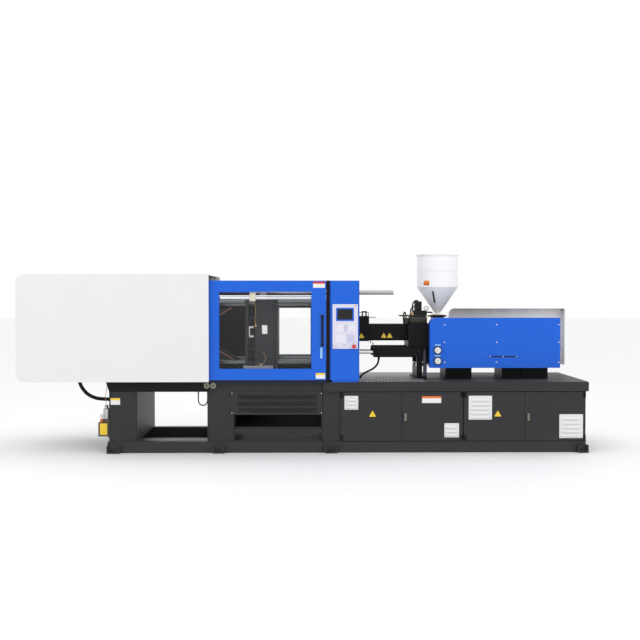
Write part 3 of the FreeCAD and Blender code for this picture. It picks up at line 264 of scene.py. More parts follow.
def surface_group():
    """Shared surface effect: broad tint drift, fine grain bump, smudged gloss, dust low down and on tops."""
    group, source, sink = node_group(
        "machine_surface",
        [("Colour", "NodeSocketColor", (0.5, 0.5, 0.5, 1)), ("Drift", "NodeSocketFloat", 0.05),
         ("Rough", "NodeSocketFloat", 0.4), ("Smudge", "NodeSocketFloat", 0.08),
         ("Grain Scale", "NodeSocketFloat", 900.0), ("Grain", "NodeSocketFloat", 0.15),
         ("Dust", "NodeSocketFloat", 0.1)],
        [("Colour", "NodeSocketColor"), ("Roughness", "NodeSocketFloat"), ("Normal", "NodeSocketVector")])
    place = group.nodes.new("ShaderNodeTexCoord").outputs["Object"]
    broad = add_noise(group, place, 1.7, 3.0)
    cloud = add_noise(group, place, 14.0, 6.0, 0.65)
    grain = add_noise(group, place, source.outputs["Grain Scale"], 2.0)
    shade = add_math(group, "MULTIPLY_ADD", broad, source.outputs["Drift"], 1.0)
    shade = add_math(group, "SUBTRACT", shade, add_math(group, "MULTIPLY", cloud, add_math(
        group, "MULTIPLY", source.outputs["Drift"], 0.6)))
    scaled = group.nodes.new("ShaderNodeVectorMath")
    scaled.operation = "SCALE"
    group.links.new(source.outputs["Colour"], scaled.inputs[0])
    group.links.new(shade, scaled.inputs["Scale"])
    split = group.nodes.new("ShaderNodeSeparateXYZ")
    group.links.new(group.nodes.new("ShaderNodeNewGeometry").outputs["Normal"], split.inputs[0])
    upward = add_math(group, "MULTIPLY", add_math(group, "SUBTRACT", split.outputs["Z"], 0.5), 2.0,
                      clamp=True)
    height = group.nodes.new("ShaderNodeSeparateXYZ")
    group.links.new(place, height.inputs[0])
    low = add_math(group, "SUBTRACT", 1.0, add_math(group, "MULTIPLY", height.outputs["Z"], 4.0),
                   clamp=True)
    mask = add_math(group, "MULTIPLY", add_math(group, "MAXIMUM", upward, low), cloud)
    mask = add_math(group, "MULTIPLY", mask, source.outputs["Dust"], clamp=True)
    dusty = mix_colour(group, mask, scaled.outputs[0], (0.34, 0.33, 0.31, 1))
    group.links.new(dusty, sink.inputs["Colour"])
    gloss = add_math(group, "MULTIPLY_ADD", add_math(group, "SUBTRACT", cloud, 0.5),
                     source.outputs["Smudge"],
                     source.outputs["Rough"])
    group.links.new(add_math(group, "MULTIPLY_ADD", mask, 0.5, gloss, clamp=True), sink.inputs["Roughness"])
    bump = group.nodes.new("ShaderNodeBump")
    bump.inputs["Distance"].default_value = 0.0004
    group.links.new(source.outputs["Grain"], bump.inputs["Strength"])
    group.links.new(grain, bump.inputs["Height"])
    group.links.new(bump.outputs[0], sink.inputs["Normal"])
    return group


def finish(name, colour, rough=0.4, metal=0.0, drift=0.06, smudge=0.10, grain_scale=900.0, grain=0.12,
           dust=0.12,
           coat=0.0, gloss=0.5, paint=None):
    """A material from the shared surface group; paint may change the colour before it reaches the group."""
    material = bpy.data.materials.new(name)
    material.use_nodes = True
    tree = material.node_tree
    shader = tree.nodes["Principled BSDF"]
    surface = tree.nodes.new("ShaderNodeGroup")
    surface.node_tree = bpy.data.node_groups["machine_surface"]
    values = {"Colour": (*colour, 1), "Drift": drift, "Rough": rough, "Smudge": smudge,
              "Grain Scale": grain_scale,
              "Grain": grain, "Dust": dust}
    for label, value in values.items():
        surface.inputs[label].default_value = value
    tree.links.new(surface.outputs["Colour"], shader.inputs["Base Color"])
    tree.links.new(surface.outputs["Roughness"], shader.inputs["Roughness"])
    tree.links.new(surface.outputs["Normal"], shader.inputs["Normal"])
    shader.inputs["Metallic"].default_value = metal
    shader.inputs["Specular IOR Level"].default_value = gloss
    shader.inputs["Coat Weight"].default_value = coat
    shader.inputs["Coat Roughness"].default_value = 0.12
    if paint:
        tree.links.new(paint(tree, (*colour, 1)), surface.inputs["Colour"])
    return material


def bed_paint(tree, colour):
    """The beam's clamp end is black and the pillars, panels and skid are dark grey."""
    place = tree.nodes.new("ShaderNodeTexCoord").outputs["Object"]
    split = tree.nodes.new("ShaderNodeSeparateXYZ")
    tree.links.new(place, split.inputs[0])
    left = add_math(tree, "LESS_THAN", split.outputs["X"], -0.965)
    beam = add_math(tree, "GREATER_THAN", split.outputs["Z"], 0.621)
    dark = add_math(tree, "MULTIPLY", left, beam)
    return mix_colour(tree, dark, colour, (0.008, 0.008, 0.009, 1))


def brushed(name, colour, rough=0.22, stretch=(1, 60, 60)):
    """Bright metal with drawn lines along X: noise stretched over the bar drives gloss and bump."""
    material = finish(name, colour, rough, 1.0, 0.10, 0.15, 700.0, 0.05, 0.03)
    tree = material.node_tree
    place = tree.nodes.new("ShaderNodeTexCoord").outputs["Object"]
    mapping = tree.nodes.new("ShaderNodeMapping")
    mapping.inputs["Scale"].default_value = stretch
    tree.links.new(place, mapping.inputs["Vector"])
    lines = add_noise(tree, mapping.outputs[0], 12.0, 3.0)
    surface = next(n for n in tree.nodes if n.type == "GROUP")
    tree.links.new(add_math(tree, "MULTIPLY_ADD", lines, 0.2, rough - 0.08), surface.inputs["Rough"])
    return material


def clear_sheet(name):
    """Clear polycarbonate: faint tint, Fresnel gloss and light scuffs in its roughness."""
    material = bpy.data.materials.new(name)
    material.use_nodes = True
    tree = material.node_tree
    shader = tree.nodes["Principled BSDF"]
    shader.inputs["Base Color"].default_value = (0.96, 0.98, 1.0, 1)
    shader.inputs["IOR"].default_value = 1.45
    shader.inputs["Metallic"].default_value = 0.0
    place = tree.nodes.new("ShaderNodeTexCoord").outputs["Object"]
    scuffs = add_noise(tree, place, 30.0, 8.0, 0.7)
    tree.links.new(add_math(tree, "MULTIPLY_ADD", scuffs, 0.06, 0.02), shader.inputs["Roughness"])
    tree.links.new(add_math(tree, "MULTIPLY_ADD", scuffs, 0.02, 0.004), shader.inputs["Alpha"])
    return material


def chequer_finish(name, colour):
    """Tread plate: raised lens-shaped bars in two directions on a repeating cell, as bump and as tops painted
    brighter, a painted highlight of the bars' shine.
    """
    material = finish(name, colour, 0.42, 0.2, 0.2, 0.2, 500.0, 0.15, 0.1)
    tree = material.node_tree
    place = tree.nodes.new("ShaderNodeTexCoord").outputs["Object"]
    split = tree.nodes.new("ShaderNodeSeparateXYZ")
    tree.links.new(place, split.inputs[0])
    cell = 0.07
    heights = []
    for shift, turn in ((0.0, 1), (cell / 2, -1)):
        along = add_math(tree, "ADD", split.outputs["X"], shift)
        x = add_math(tree, "SUBTRACT", add_math(tree, "PINGPONG", along, cell / 2), cell / 4)
        y = add_math(tree, "SUBTRACT", add_math(tree, "PINGPONG", split.outputs["Y"], cell / 2), cell / 4)
        long = add_math(tree, "ADD", x, add_math(tree, "MULTIPLY", y, turn))
        short = add_math(tree, "SUBTRACT", x, add_math(tree, "MULTIPLY", y, turn))
        far = add_math(tree, "ADD", add_math(tree, "POWER", add_math(tree, "MULTIPLY", long, 44.0), 2.0),
                       add_math(tree, "POWER", add_math(tree, "MULTIPLY", short, 120.0), 2.0))
        heights.append(add_math(tree, "SUBTRACT", 1.0, far, clamp=True))
    height = add_math(tree, "MAXIMUM", heights[0], heights[1])
    surface = next(n for n in tree.nodes if n.type == "GROUP")
    # bar tops mixed towards eight times the base colour: a painted highlight
    tree.links.new(mix_colour(tree, height, (*colour, 1), tuple(min(1, c * 8.0) for c in colour) + (1,)),
                   surface.inputs["Colour"])
    bump = tree.nodes.new("ShaderNodeBump")
    bump.inputs["Distance"].default_value = 0.002
    tree.links.new(height, bump.inputs["Height"])
    tree.links.new(surface.outputs["Normal"], bump.inputs["Normal"])
    tree.links.new(bump.outputs[0], tree.nodes["Principled BSDF"].inputs["Normal"])
    return material


FINISHES = {}


def add(name, look, body, *shapes):
    """Merges shapes into one mesh, turns its faces outwards, gives it a finish and puts it on a body."""
    points, faces = together(shapes)
    mesh = bpy.data.meshes.new(name)
    mesh.from_pydata(points.tolist(), [], faces)
    work = bmesh.new()
    work.from_mesh(mesh)
    bmesh.ops.remove_doubles(work, verts=work.verts, dist=1e-5)
    bmesh.ops.dissolve_degenerate(work, edges=work.edges, dist=1e-6)
    bmesh.ops.recalc_face_normals(work, faces=work.faces)
    work.to_mesh(mesh)
    work.free()
    mesh.validate()
    piece = bpy.data.objects.new(name, mesh)
    bpy.context.scene.collection.objects.link(piece)
    mesh.materials.append(FINISHES[look])
    mesh.shade_smooth()
    mesh.set_sharp_from_angle(angle=math.radians(SHARP_ANGLE))
    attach(piece, body)
    return piece


class MachineColours(bpy.types.PropertyGroup):
    """Paint colours of the machine."""
    blue: bpy.props.FloatVectorProperty(name="Guard blue",
                                        description="Paint of the gates, cabinet and cover",
                                        subtype="COLOR", size=3, default=(0.010, 0.120, 0.66), min=0, max=1)
    white: bpy.props.FloatVectorProperty(name="Cover white",
                                         description="Paint of the clamp covers and the vents",
                                         subtype="COLOR", size=3, default=(0.78, 0.78, 0.79), min=0, max=1)
    grey: bpy.props.FloatVectorProperty(name="Bed grey", description="Paint of the welded beds and doors",
                                        subtype="COLOR", size=3, default=(0.036, 0.036, 0.039), min=0,
                                        max=1)
    black: bpy.props.FloatVectorProperty(name="Black",
                                         description="Paint of the guards, housings and pedestals",
                                         subtype="COLOR", size=3, default=(0.007, 0.007, 0.008), min=0,
                                         max=1)


class MachineSizes(bpy.types.PropertyGroup):
    """Sizes of the added trim."""
    louvre_depth: bpy.props.FloatProperty(name="Louvre depth",
                                          description="How far a pressed louvre stands out",
                                          default=0.018, min=0.002, max=0.03, unit="LENGTH")
    screw_radius: bpy.props.FloatProperty(name="Screw radius",
                                          description="Radius of the cover screws' heads",
                                          default=0.008, min=0.003, max=0.02, unit="LENGTH")
    lens: bpy.props.FloatProperty(name="Lens",
                                  description="Focal length of the stage camera in millimetres",
                                  default=58.9, min=20, max=200)


class MACHINE_OT_finishes(bpy.types.Operator):
    """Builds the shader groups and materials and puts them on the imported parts"""
    bl_idname = "machine.finishes"
    bl_label = "Finishes"

    def execute(self, context):
        colours = context.scene.machine_colours
        surface_group()
        paints = (colours.blue, colours.white, colours.grey, colours.black)
        blue, white, grey, black = (tuple(paint) for paint in paints)
        made = [
            finish("blue_paint", blue, 0.30, drift=0.10, coat=0.06, grain=0.10, dust=0.04, gloss=0.2),
            finish("white_paint", white, 0.36, drift=0.03, coat=0.2, grain=0.10, dust=0.03),
            # a lighter white than white_paint: painted light on the rear injection cover, whose inner faces
            # fall in shade, and on the hopper
            finish("lit_white_paint", (0.92, 0.92, 0.93), 0.28, drift=0.02, coat=0.2, grain=0.06, dust=0.01),
            finish("grey_paint", grey, 0.46, drift=0.14, grain=0.3, grain_scale=1400, dust=0.06,
                   gloss=0.15),
            finish("bed_paint", grey, 0.46, drift=0.14, grain=0.3, grain_scale=1400, dust=0.06,
                   paint=bed_paint, gloss=0.15),
            finish("black_paint", black, 0.42, drift=0.2, grain=0.22, dust=0.10, gloss=0.12),
            finish("cast_paint", (0.030, 0.031, 0.034), 0.5, drift=0.25, grain=0.6, grain_scale=260,
                   dust=0.14, gloss=0.12),
            finish("black_plastic", (0.010, 0.010, 0.011), 0.38, drift=0.1, grain=0.25, dust=0.04,
                   gloss=0.2),
            finish("rubber", (0.014, 0.014, 0.015), 0.62, drift=0.2, grain=0.4, grain_scale=1600, dust=0.12,
                   gloss=0.15),
            finish("grey_hose", (0.085, 0.075, 0.10), 0.58, drift=0.2, grain=0.4, grain_scale=1600,
                   dust=0.12, gloss=0.2),
            finish("panel_lilac", (0.70, 0.67, 0.80), 0.42, drift=0.03, grain=0.08, dust=0.0),
            finish("key_white", (0.86, 0.86, 0.90), 0.45, drift=0.02, grain=0.05, dust=0.0),
            finish("key_blue", (0.52, 0.56, 0.78), 0.45, drift=0.02, grain=0.05, dust=0.0),
            finish("screen_glass", (0.006, 0.006, 0.007), 0.12, drift=0.3, smudge=0.12, grain=0.02,
                   dust=0.0, coat=0.1, gloss=0.3),
            finish("red_plastic", (0.62, 0.012, 0.010), 0.28, drift=0.06, coat=0.4, dust=0.02),
            finish("yellow_plate", (0.86, 0.60, 0.03), 0.42, drift=0.05, dust=0.05),
            finish("orange_plate", (0.80, 0.19, 0.02), 0.42, drift=0.05, dust=0.05),
            finish("white_plate", (0.82, 0.82, 0.80), 0.42, drift=0.04, dust=0.05),
            finish("light_blue", (0.30, 0.55, 0.86), 0.35, drift=0.05, dust=0.05),
            finish("ivory", (0.72, 0.68, 0.52), 0.45, drift=0.08, dust=0.05),
            finish("dark_oil", (0.045, 0.030, 0.012), 0.22, drift=0.3, coat=0.5, dust=0.08),
            finish("valve_olive", (0.022, 0.020, 0.012), 0.40, drift=0.25, grain=0.4, dust=0.08),
            finish("brass", (0.62, 0.42, 0.16), 0.28, 1.0, drift=0.15, dust=0.05),
            finish("copper", (0.70, 0.30, 0.17), 0.30, 1.0, drift=0.2, dust=0.05),
            finish("zinc_screw", (0.58, 0.58, 0.56), 0.30, 1.0, drift=0.15, dust=0.03),
            finish("roller_metal", (0.20, 0.19, 0.15), 0.45, 1.0, drift=0.3, dust=0.1),
            brushed("chrome_bar", (0.78, 0.78, 0.80), 0.14),
            brushed("steel", (0.50, 0.50, 0.50), 0.32),
            brushed("tie_metal", (0.10, 0.11, 0.11), 0.24),
            clear_sheet("clear_sheet"),
            chequer_finish("tread_metal", (0.10, 0.10, 0.105)),
        ]
        FINISHES.update({material.name: material for material in made})
        wearing = {
            "blue_paint": "control_cabinet front_gate rear_gate injection_cover",
            "white_paint": "front_clamp_cover rear_clamp_cover cover_frame",
            # the rear injection cover and the hopper take the lighter white, painted light over their shaded
            # faces
            "lit_white_paint": "rear_injection_cover hopper hopper_lid",
            "grey_paint": "injection_bed air_grille door_1 door_2 door_3 door_4",
            "bed_paint": "clamp_bed",
            "black_paint": "gate_posts guide_pedestals purge_guard barrel_cover carriage_cylinders pump_unit "
                           "feed_housing clamp_cylinder",
            "cast_paint": "fixed_platen moving_platen tail_platen ram_plate rear_link_upper "
                          "rear_link_lower front_link_upper front_link_lower crosshead crosshead_link_upper "
                          "crosshead_link_lower",
            "black_plastic": "gate_handle", "panel_lilac": "control_panel", "red_plastic": "estop_button",
            "tie_metal": "tie_bars", "chrome_bar": "guide_bars key_switch",
            "steel": "safety_rod platen_shoes ejector adjusting_nuts barrel screw hopper_gate",
            "roller_metal": "gate_roller_1 gate_roller_2 door_lock_1 door_lock_2",
            "clear_sheet": "front_gate_window rear_gate_window", "rubber": "hose_main hose_loop hose_seat",
            "grey_hose": "hose_bundle", "dark_oil": "lubricator"}
        for name, nodes in wearing.items():
            for node in nodes.split():
                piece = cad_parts[node]
                piece.data.materials.clear()
                piece.data.materials.append(FINISHES[name])
        return {"FINISHED"}


class MACHINE_OT_vents(bpy.types.Operator):
    """Adds the white louvred vents to the doors and the screws round them"""
    bl_idname = "machine.vents"
    bl_label = "Door vents"

    def execute(self, context):
        depth = context.scene.machine_sizes.louvre_depth
        places = (((0.036, 0.176), (0.438, 0.579), 3), ((-0.186, -0.036), (0.155, 0.299), 3),
                  ((0.045, 0.283), (0.335, 0.579), 5), ((-0.267, -0.025), (0.145, 0.389), 5))
        for number, (reach, z, slats) in enumerate(places, 1):
            low, high = DOORS[number - 1]
            start = low if reach[0] > 0 else high
            x = (start + reach[0], start + reach[1])
            body = "door_%d" % number
            border = 0.012
            add("vent_%d_louvres" % number, "white_paint", body,
                louvre_sheet((x[0] + border, x[1] - border), (z[0] + border, z[1] - border),
                             DOOR_FACE - 0.002, slats, depth))
            add("vent_%d_frame" % number, "white_paint", body,
                frame_bars((x[0], DOOR_FACE - 0.004, z[0]), (x[1], DOOR_FACE, z[1]), border))
            heads = [bolt_head((a, DOOR_FACE - 0.004, b), "y", 0.0035, -0.0025)
                     for a in (x[0] + border / 2, x[1] - border / 2)
                     for b in (z[0] + border / 2, z[1] - border / 2)]
            add("vent_%d_screws" % number, "zinc_screw", body, *heads)
        return {"FINISHED"}


class MACHINE_OT_doors(bpy.types.Operator):
    """Adds hinge barrels, warning fields and plain plates to the bed doors"""
    bl_idname = "machine.doors"
    bl_label = "Door trim"

    def execute(self, context):
        for number, (low, high) in enumerate(DOORS, 1):
            hinge_left = number % 2 == 1
            x = low if hinge_left else high
            shapes = []
            for z in (DOOR_Z[0] + 0.030, DOOR_Z[1] - 0.030):
                shapes.append(turned([(-0.0302, 0), (-0.0302, 0.0058), (0.0302, 0.0058), (0.0302, 0)],
                                     (x, DOOR_FACE + HINGE_RADIUS, z), "z", 20))
                leaf = (x, x + 0.024) if hinge_left else (x - 0.024, x)
                shapes.append(rounded_box((leaf[0], DOOR_FACE - 0.003, z - 0.028),
                                          (leaf[1], DOOR_FACE, z + 0.028)))
            add("door_%d_hinges" % number, "black_paint", "door_%d" % number, *shapes)
        for number, x in ((1, 0.691), (3, 1.968)):
            add("warning_field_%d" % number, "yellow_plate", "door_%d" % number,
                triangle_plate(x, DOOR_FACE, 0.388, 0.066))
        banded_plate("door_plate", (1.195, 1.390), (0.505, 0.574), DOOR_FACE, 0.30, "orange_plate", "door_2")
        banded_plate("pillar_plate", (-1.966, -1.870), (0.490, 0.558), -0.625, 0.32, "yellow_plate", "root")
        return {"FINISHED"}


def triangle_plate(x, face, z, size):
    """Thin three-cornered plate: corners at 90, 210 and 330 degrees, each rounded by a small circle."""
    turn = np.radians(90 + 120 * np.arange(3))
    around = np.linspace(-60, 60, 5)
    angle = np.radians(90 + 120 * np.arange(3)[:, None] + around[None, :])
    reach, corner = size * 0.5, size * 0.07
    px = x + (reach * np.cos(turn)[:, None] + corner * np.cos(angle)).ravel()
    pz = z + (reach * np.sin(turn)[:, None] + corner * np.sin(angle)).ravel()
    count = len(px)
    front = np.stack([px, np.full(count, face - 0.0015), pz], -1)
    back = np.stack([px, np.full(count, face), pz], -1)
    faces = [list(range(count)), list(range(2 * count - 1, count - 1, -1))]
    faces += [[i, (i + 1) % count, (i + 1) % count + count, i + count] for i in range(count)]
    return np.vstack([front, back]), faces


def banded_plate(name, x, z, face, share, band, body):
    """White plate with a coloured band along its top edge."""
    split = z[1] - (z[1] - z[0]) * share
    add(name, "white_plate", body, rounded_box((x[0], face - 0.0014, z[0]), (x[1], face, split), 0.0004))
    add(name + "_band", band, body, rounded_box((x[0], face - 0.0016, split), (x[1], face, z[1]), 0.0004))


class MACHINE_OT_bed(bpy.types.Operator):
    """Adds the tread plate, a black sheet of painted shade behind the grille, panel seams, chute lip and cap
    screws of the beds
    """
    bl_idname = "machine.bed"
    bl_label = "Bed trim"

    def execute(self, context):
        tread = [((0.470, 1.182), (-0.640, 0.640)), ((1.182, 1.240), (-0.640, -0.242)),
                 ((1.182, 1.240), (0.242, 0.640))]
        shapes = [rounded_box((x[0], y[0], BED_TOP), (x[1], y[1], BED_TOP + 0.004), 0.001)
                  for x, y in tread]
        add("tread_plate", "tread_metal", "root", *shapes)
        z = (GRILLE_LOW[2] + 0.016, GRILLE_HIGH[2] - 0.015)
        heads = [bolt_head((x, GRILLE_LOW[1], h), "y", 0.006, -0.004) for x in (-0.737, 0.172) for h in z]
        add("grille_screws", "zinc_screw", "root", *heads)
        heads = [bolt_head((x, -0.6255, h), "y", 0.007, -0.005) for x in (-1.955, -1.723, -0.960, -0.770)
                 for h in (0.150, 0.590)]
        add("bed_screws", "black_plastic", "root", *heads)
        # black sheet behind the air grille: painted shade of the bed's dark inside
        grille_shade_sheet = rounded_box((GRILLE_LOW[0] + 0.03, -0.598, GRILLE_LOW[2] + 0.03),
                              (GRILLE_HIGH[0] - 0.03, -0.596, GRILLE_HIGH[2] - 0.03), 0.0005)
        add("grille_painted_shade", "black_paint", "root", grille_shade_sheet)
        seams = [rounded_box((x, -0.6262, 0.122), (x + 0.003, -0.6248, 0.612), 0.0004)
                 for x in (-1.975, -1.705, -0.980, -0.722)]
        add("bed_seams", "black_paint", "root", *seams)
        shelf = [rounded_box((-0.700, -0.628, 0.250), (0.165, -0.600, 0.262), 0.003),
                 rounded_box((-0.700, -0.628, 0.190), (0.165, -0.600, 0.200), 0.003)]
        add("chute_lip", "grey_paint", "root", *shelf)
        return {"FINISHED"}


class MACHINE_OT_gates(bpy.types.Operator):
    """Adds the runner strips, window beads, hangers, a black sheet of painted shade on the rear guard's inner
    side, a light-blue patch of painted highlight by the handle and the plates of the sliding guards
    """
    bl_idname = "machine.gates"
    bl_label = "Guard trim"

    def execute(self, context):
        (x0, _, z0), (x1, _, _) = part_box("front_gate")
        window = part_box("front_gate_window")
        wx = (window[0][0] + 0.025, window[1][0] - 0.025)
        for side, body, name in ((-1, "front_gate", "front"), (1, "rear_gate", "rear")):
            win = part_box(name + "_gate_window")
            wz = (win[0][2] + 0.025, win[1][2] - 0.025)
            face = -GATE_FACE * side
            strip = sorted((face, face - side * 0.022))
            add(name + "_gate_runner", "black_plastic", body,
                rounded_box((x0 - 0.0005, strip[0] - 0.0005, z0 - 0.0001),
                            (x1 + 0.0005, strip[1] + 0.0005, z0 + 0.0275), 0.002))
            bead = sorted((face + side * 0.0015, face - side * 0.004))
            add(name + "_window_bead", "blue_paint", body,
                frame_bars((wx[0] - 0.008, bead[0], wz[0] - 0.008), (wx[1] + 0.008, bead[1], wz[1] + 0.008),
                           0.009, 0.002))
            rail_y = RAIL_Y * side
            strap, top = (0.0060, 1.6352) if side < 0 else (0.0, 1.6098)
            shapes = []
            for x in (-0.900, -0.525):
                y = sorted((rail_y - side * 0.0355, rail_y + side * 0.0330))
                shapes.append(rounded_box((x - 0.0308, y[0] - strap - 0.0006, 1.5422),
                                          (x + 0.0308, y[1], top), 0.003))
            add(name + "_gate_hangers", "ivory", body, *shapes)
        # black strips on the rear guard's inner face above and below its window: painted shade of that side,
        # which stands in shadow
        low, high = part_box("rear_gate")
        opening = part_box("rear_gate_window")
        edges = ((low[2] + 0.004, opening[0][2] + 0.030, low[0], high[0]),
                 (opening[1][2] - 0.030, high[2] - 0.120, low[0], high[0]))
        shade_strips = [rounded_box((x0 + 0.004, GATE_IN - SHADE_SHEET, z0), (x1 - 0.004, GATE_IN, z1), 0.0004)
                  for z0, z1, x0, x1 in edges]
        add("rear_gate_painted_shade", "black_paint", "rear_gate", *shade_strips)
        banded_plate("gate_top_plate", (0.087, 0.207), (1.676, 1.738), GATE_FACE, 0.34, "red_plastic",
                     "front_gate")
        banded_plate("gate_low_plate", (0.114, 0.209), (0.756, 0.814), GATE_FACE, 0.36, "yellow_plate",
                     "front_gate")
        # light-blue patch beside the handle: a painted highlight on the blue guard
        add("gate_painted_highlight", "light_blue", "front_gate",
            rounded_box((0.158, GATE_FACE - 0.012, 0.962), (0.182, GATE_FACE, 1.072), 0.004))
        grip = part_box("gate_handle")
        bosses = [turned([(0, 0), (0, 0.016), (0.010, 0.016), (0.016, 0.010), (0.016, 0)],
                         (0.180, GATE_FACE - 0.030, z), "y", 20)
                  for z in (grip[0][2] + 0.012, grip[1][2] - 0.012)]
        add("handle_caps", "black_plastic", "front_gate", *bosses)
        return {"FINISHED"}


class MACHINE_OT_controls(bpy.types.Operator):
    """Adds the screen, keypads, collars, lamp and screws of the operator's panel and the cabinet's seam"""
    bl_idname = "machine.controls"
    bl_label = "Controls"

    def execute(self, context):
        face = PANEL_LOW[1]
        add("screen_bezel", "blue_paint", "root",
            frame_bars((0.319, face - 0.004, 1.341), (0.499, face, 1.474), 0.014, 0.003))
        add("screen", "screen_glass", "root",
            rounded_box((0.333, face - 0.001, 1.355), (0.485, face + 0.003, 1.46), 0.001))
        add("panel_edge", "key_white", "root",
            frame_bars((PANEL_LOW[0] - 0.003, face - 0.002, PANEL_LOW[2] - 0.003),
                       (PANEL_HIGH[0] + 0.003, PANEL_HIGH[1], PANEL_HIGH[2] + 0.003), 0.004))
        fields = ((0.330, 1.300, 5, 4, 0.0125, "key_white"), (0.404, 1.300, 2, 4, 0.0125, "key_blue"),
                  (0.448, 1.300, 4, 4, 0.0125, "key_white"), (0.325, 1.204, 6, 5, 0.0125, "key_white"),
                  (0.425, 1.204, 5, 5, 0.0125, "key_blue"))
        for number, (x, z, across, down, size, look) in enumerate(fields, 1):
            pitch = size + 0.0042
            keys = [rounded_box((x + i * pitch, face - 0.0016, z - j * pitch - size),
                                (x + i * pitch + size, face, z - j * pitch), 0.0012, 2)
                    for i in range(across) for j in range(down)]
            add("keypad_%d" % number, look, "root", *keys)
        add("estop_collar", "black_plastic", "root",
            turned([(0.0, 0), (0.0, 0.0185), (-0.003, 0.018), (-0.0035, 0.013), (0.0, 0.013)],
                   (0.5, face, 1.084), "y", 32))
        add("key_collar", "steel", "root",
            turned([(0.0, 0), (0.0, 0.016), (-0.0028, 0.0155), (-0.0028, 0.0145), (0, 0.0145)],
                   (0.307, face, 1.084), "y", 32))
        add("panel_lamp", "red_plastic", "root",
            turned([(0, 0), (0, 0.006), (-0.004, 0.006), (-0.007, 0.003), (-0.008, 0)],
                   (0.512, face, 1.494), "y", 20))
        oval = turned([(0, 0), (0, 0.010), (-0.002, 0.009), (-0.002, 0)], (0, 0, 0), "y", 28)
        add("panel_oval", "key_blue", "root",
            (oval[0] * np.array([2.0, 1, 1]) + np.array([0.405, face, 1.095]), oval[1]))
        (_, y0, z0), (x1, _, z1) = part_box("control_cabinet")
        add("cabinet_seam", "black_paint", "root",
            rounded_box((x1 - 0.004, y0 - 0.0006, z0 + 0.02), (x1 - 0.002, y0 + 0.001, z1 - 0.02), 0.0003))
        heads = [bolt_head((x, PANEL_LOW[1], z), "y", 0.004, -0.002)
                 for x in (PANEL_LOW[0] + 0.010, PANEL_HIGH[0] - 0.010)
                 for z in (PANEL_LOW[2] + 0.010, PANEL_HIGH[2] - 0.010)]
        add("panel_screws", "zinc_screw", "root", *heads)
        return {"FINISHED"}


class MACHINE_OT_clamp(bpy.types.Operator):
    """Adds bolts, ribs, grease lines, a switch bracket, a plate, a black sheet of painted shade behind the
    toggle and the pin caps
    """
    bl_idname = "machine.clamp"
    bl_label = "Clamp trim"

    def execute(self, context):
        side = PLATEN_FACE
        routes = [[(-0.540, 0.012, 1.560), (-0.512, 0.014, 1.500), (-0.506, 0.014, 1.430),
                   (-0.512, 0.012, 1.360), (-0.505, 0.012, 1.290)],
                  [(-0.430, 0.010, 1.010), (-0.400, 0.012, 0.960), (-0.420, 0.012, 0.900),
                   (-0.450, 0.014, 0.885)]]
        tubes = [pipe([(x, side - out, z) for x, out, z in route], 0.002, 8) for route in routes]
        add("platen_grease_lines", "brass", "moving_platen", *tubes)
        nipple = [(0, 0), (0, 0.010), (-0.010, 0.010), (-0.012, 0.006), (-0.022, 0.006), (-0.022, 0)]
        fittings = [turned(nipple, (x, side, z), "y", 6)
                    for x, z in ((-0.540, 1.560), (-0.505, 1.285), (-0.455, 0.882), (-0.360, 0.840))]
        add("grease_fittings", "brass", "moving_platen", *fittings)
        add("platen_plate", "white_plate", "moving_platen",
            rounded_box((-0.44, side - 0.0015, 1.2), (-0.385, side, 1.29), 0.0005))
        bracket = [rounded_box((-0.572, side - 0.010, 1.165), (-0.526, side - 0.004, 1.185), 0.002),
                   rounded_box((-0.572, side - 0.010, 1.260), (-0.526, side - 0.004, 1.280), 0.002),
                   rounded_box((-0.576, side - 0.010, 1.165), (-0.564, side + 0.030, 1.280), 0.002)]
        add("switch_bracket", "steel", "moving_platen", *bracket)
        ribs = [rounded_box((-0.583, -0.380, z - 0.012), (-0.511, 0.380, z + 0.012), 0.004)
                for z in (0.905, 1.035, 1.365, 1.495)]
        add("platen_ribs", "cast_paint", "moving_platen", *ribs)
        # black sheet just inside the rear guard behind the toggle: painted shade of the clamp's dark inside
        toggle_shade_sheet = rounded_box((-0.955, 0.574, 0.800), (-0.600, 0.577, 1.520), 0.0008)
        add("toggle_painted_shade", "black_paint", "root", toggle_shade_sheet)
        heads = [bolt_head((x, side, z), "y", 0.012, -0.010) for x in (-0.490, -0.340)
                 for z in (0.830, 1.570)]
        heads += [bolt_head((-0.278, y, AXIS_Z + z), "x", 0.010, 0.006) for y in (-0.10, 0.10)
                  for z in (-0.02, 0.02)]
        add("platen_bolts", "zinc_screw", "moving_platen", *heads)
        for name, sign in (("upper", 1), ("lower", -1)):
            a, b = np.array([-0.947, AXIS_Z + sign * 0.1855]), np.array([-0.690, AXIS_Z + sign * 0.340])
            t = np.array([0.15, 0.35, 0.6, 0.85])[:, None]
            line = a + (b - a) * t + np.array([0, 0.024 * -sign])
            points = [(x, -0.162, z) for x, z in line]
            add("link_grease_line_" + name, "copper", "front_link_" + name, pipe(points, 0.003, 8))
            caps = [turned([(0, 0), (0, 0.034), (-0.006, 0.034), (-0.009, 0.028), (-0.009, 0)],
                           (x, -0.158, z), "y", 24) for x, z in (a, b)]
            add("pin_caps_" + name, "steel", "front_link_" + name, *caps)
        return {"FINISHED"}


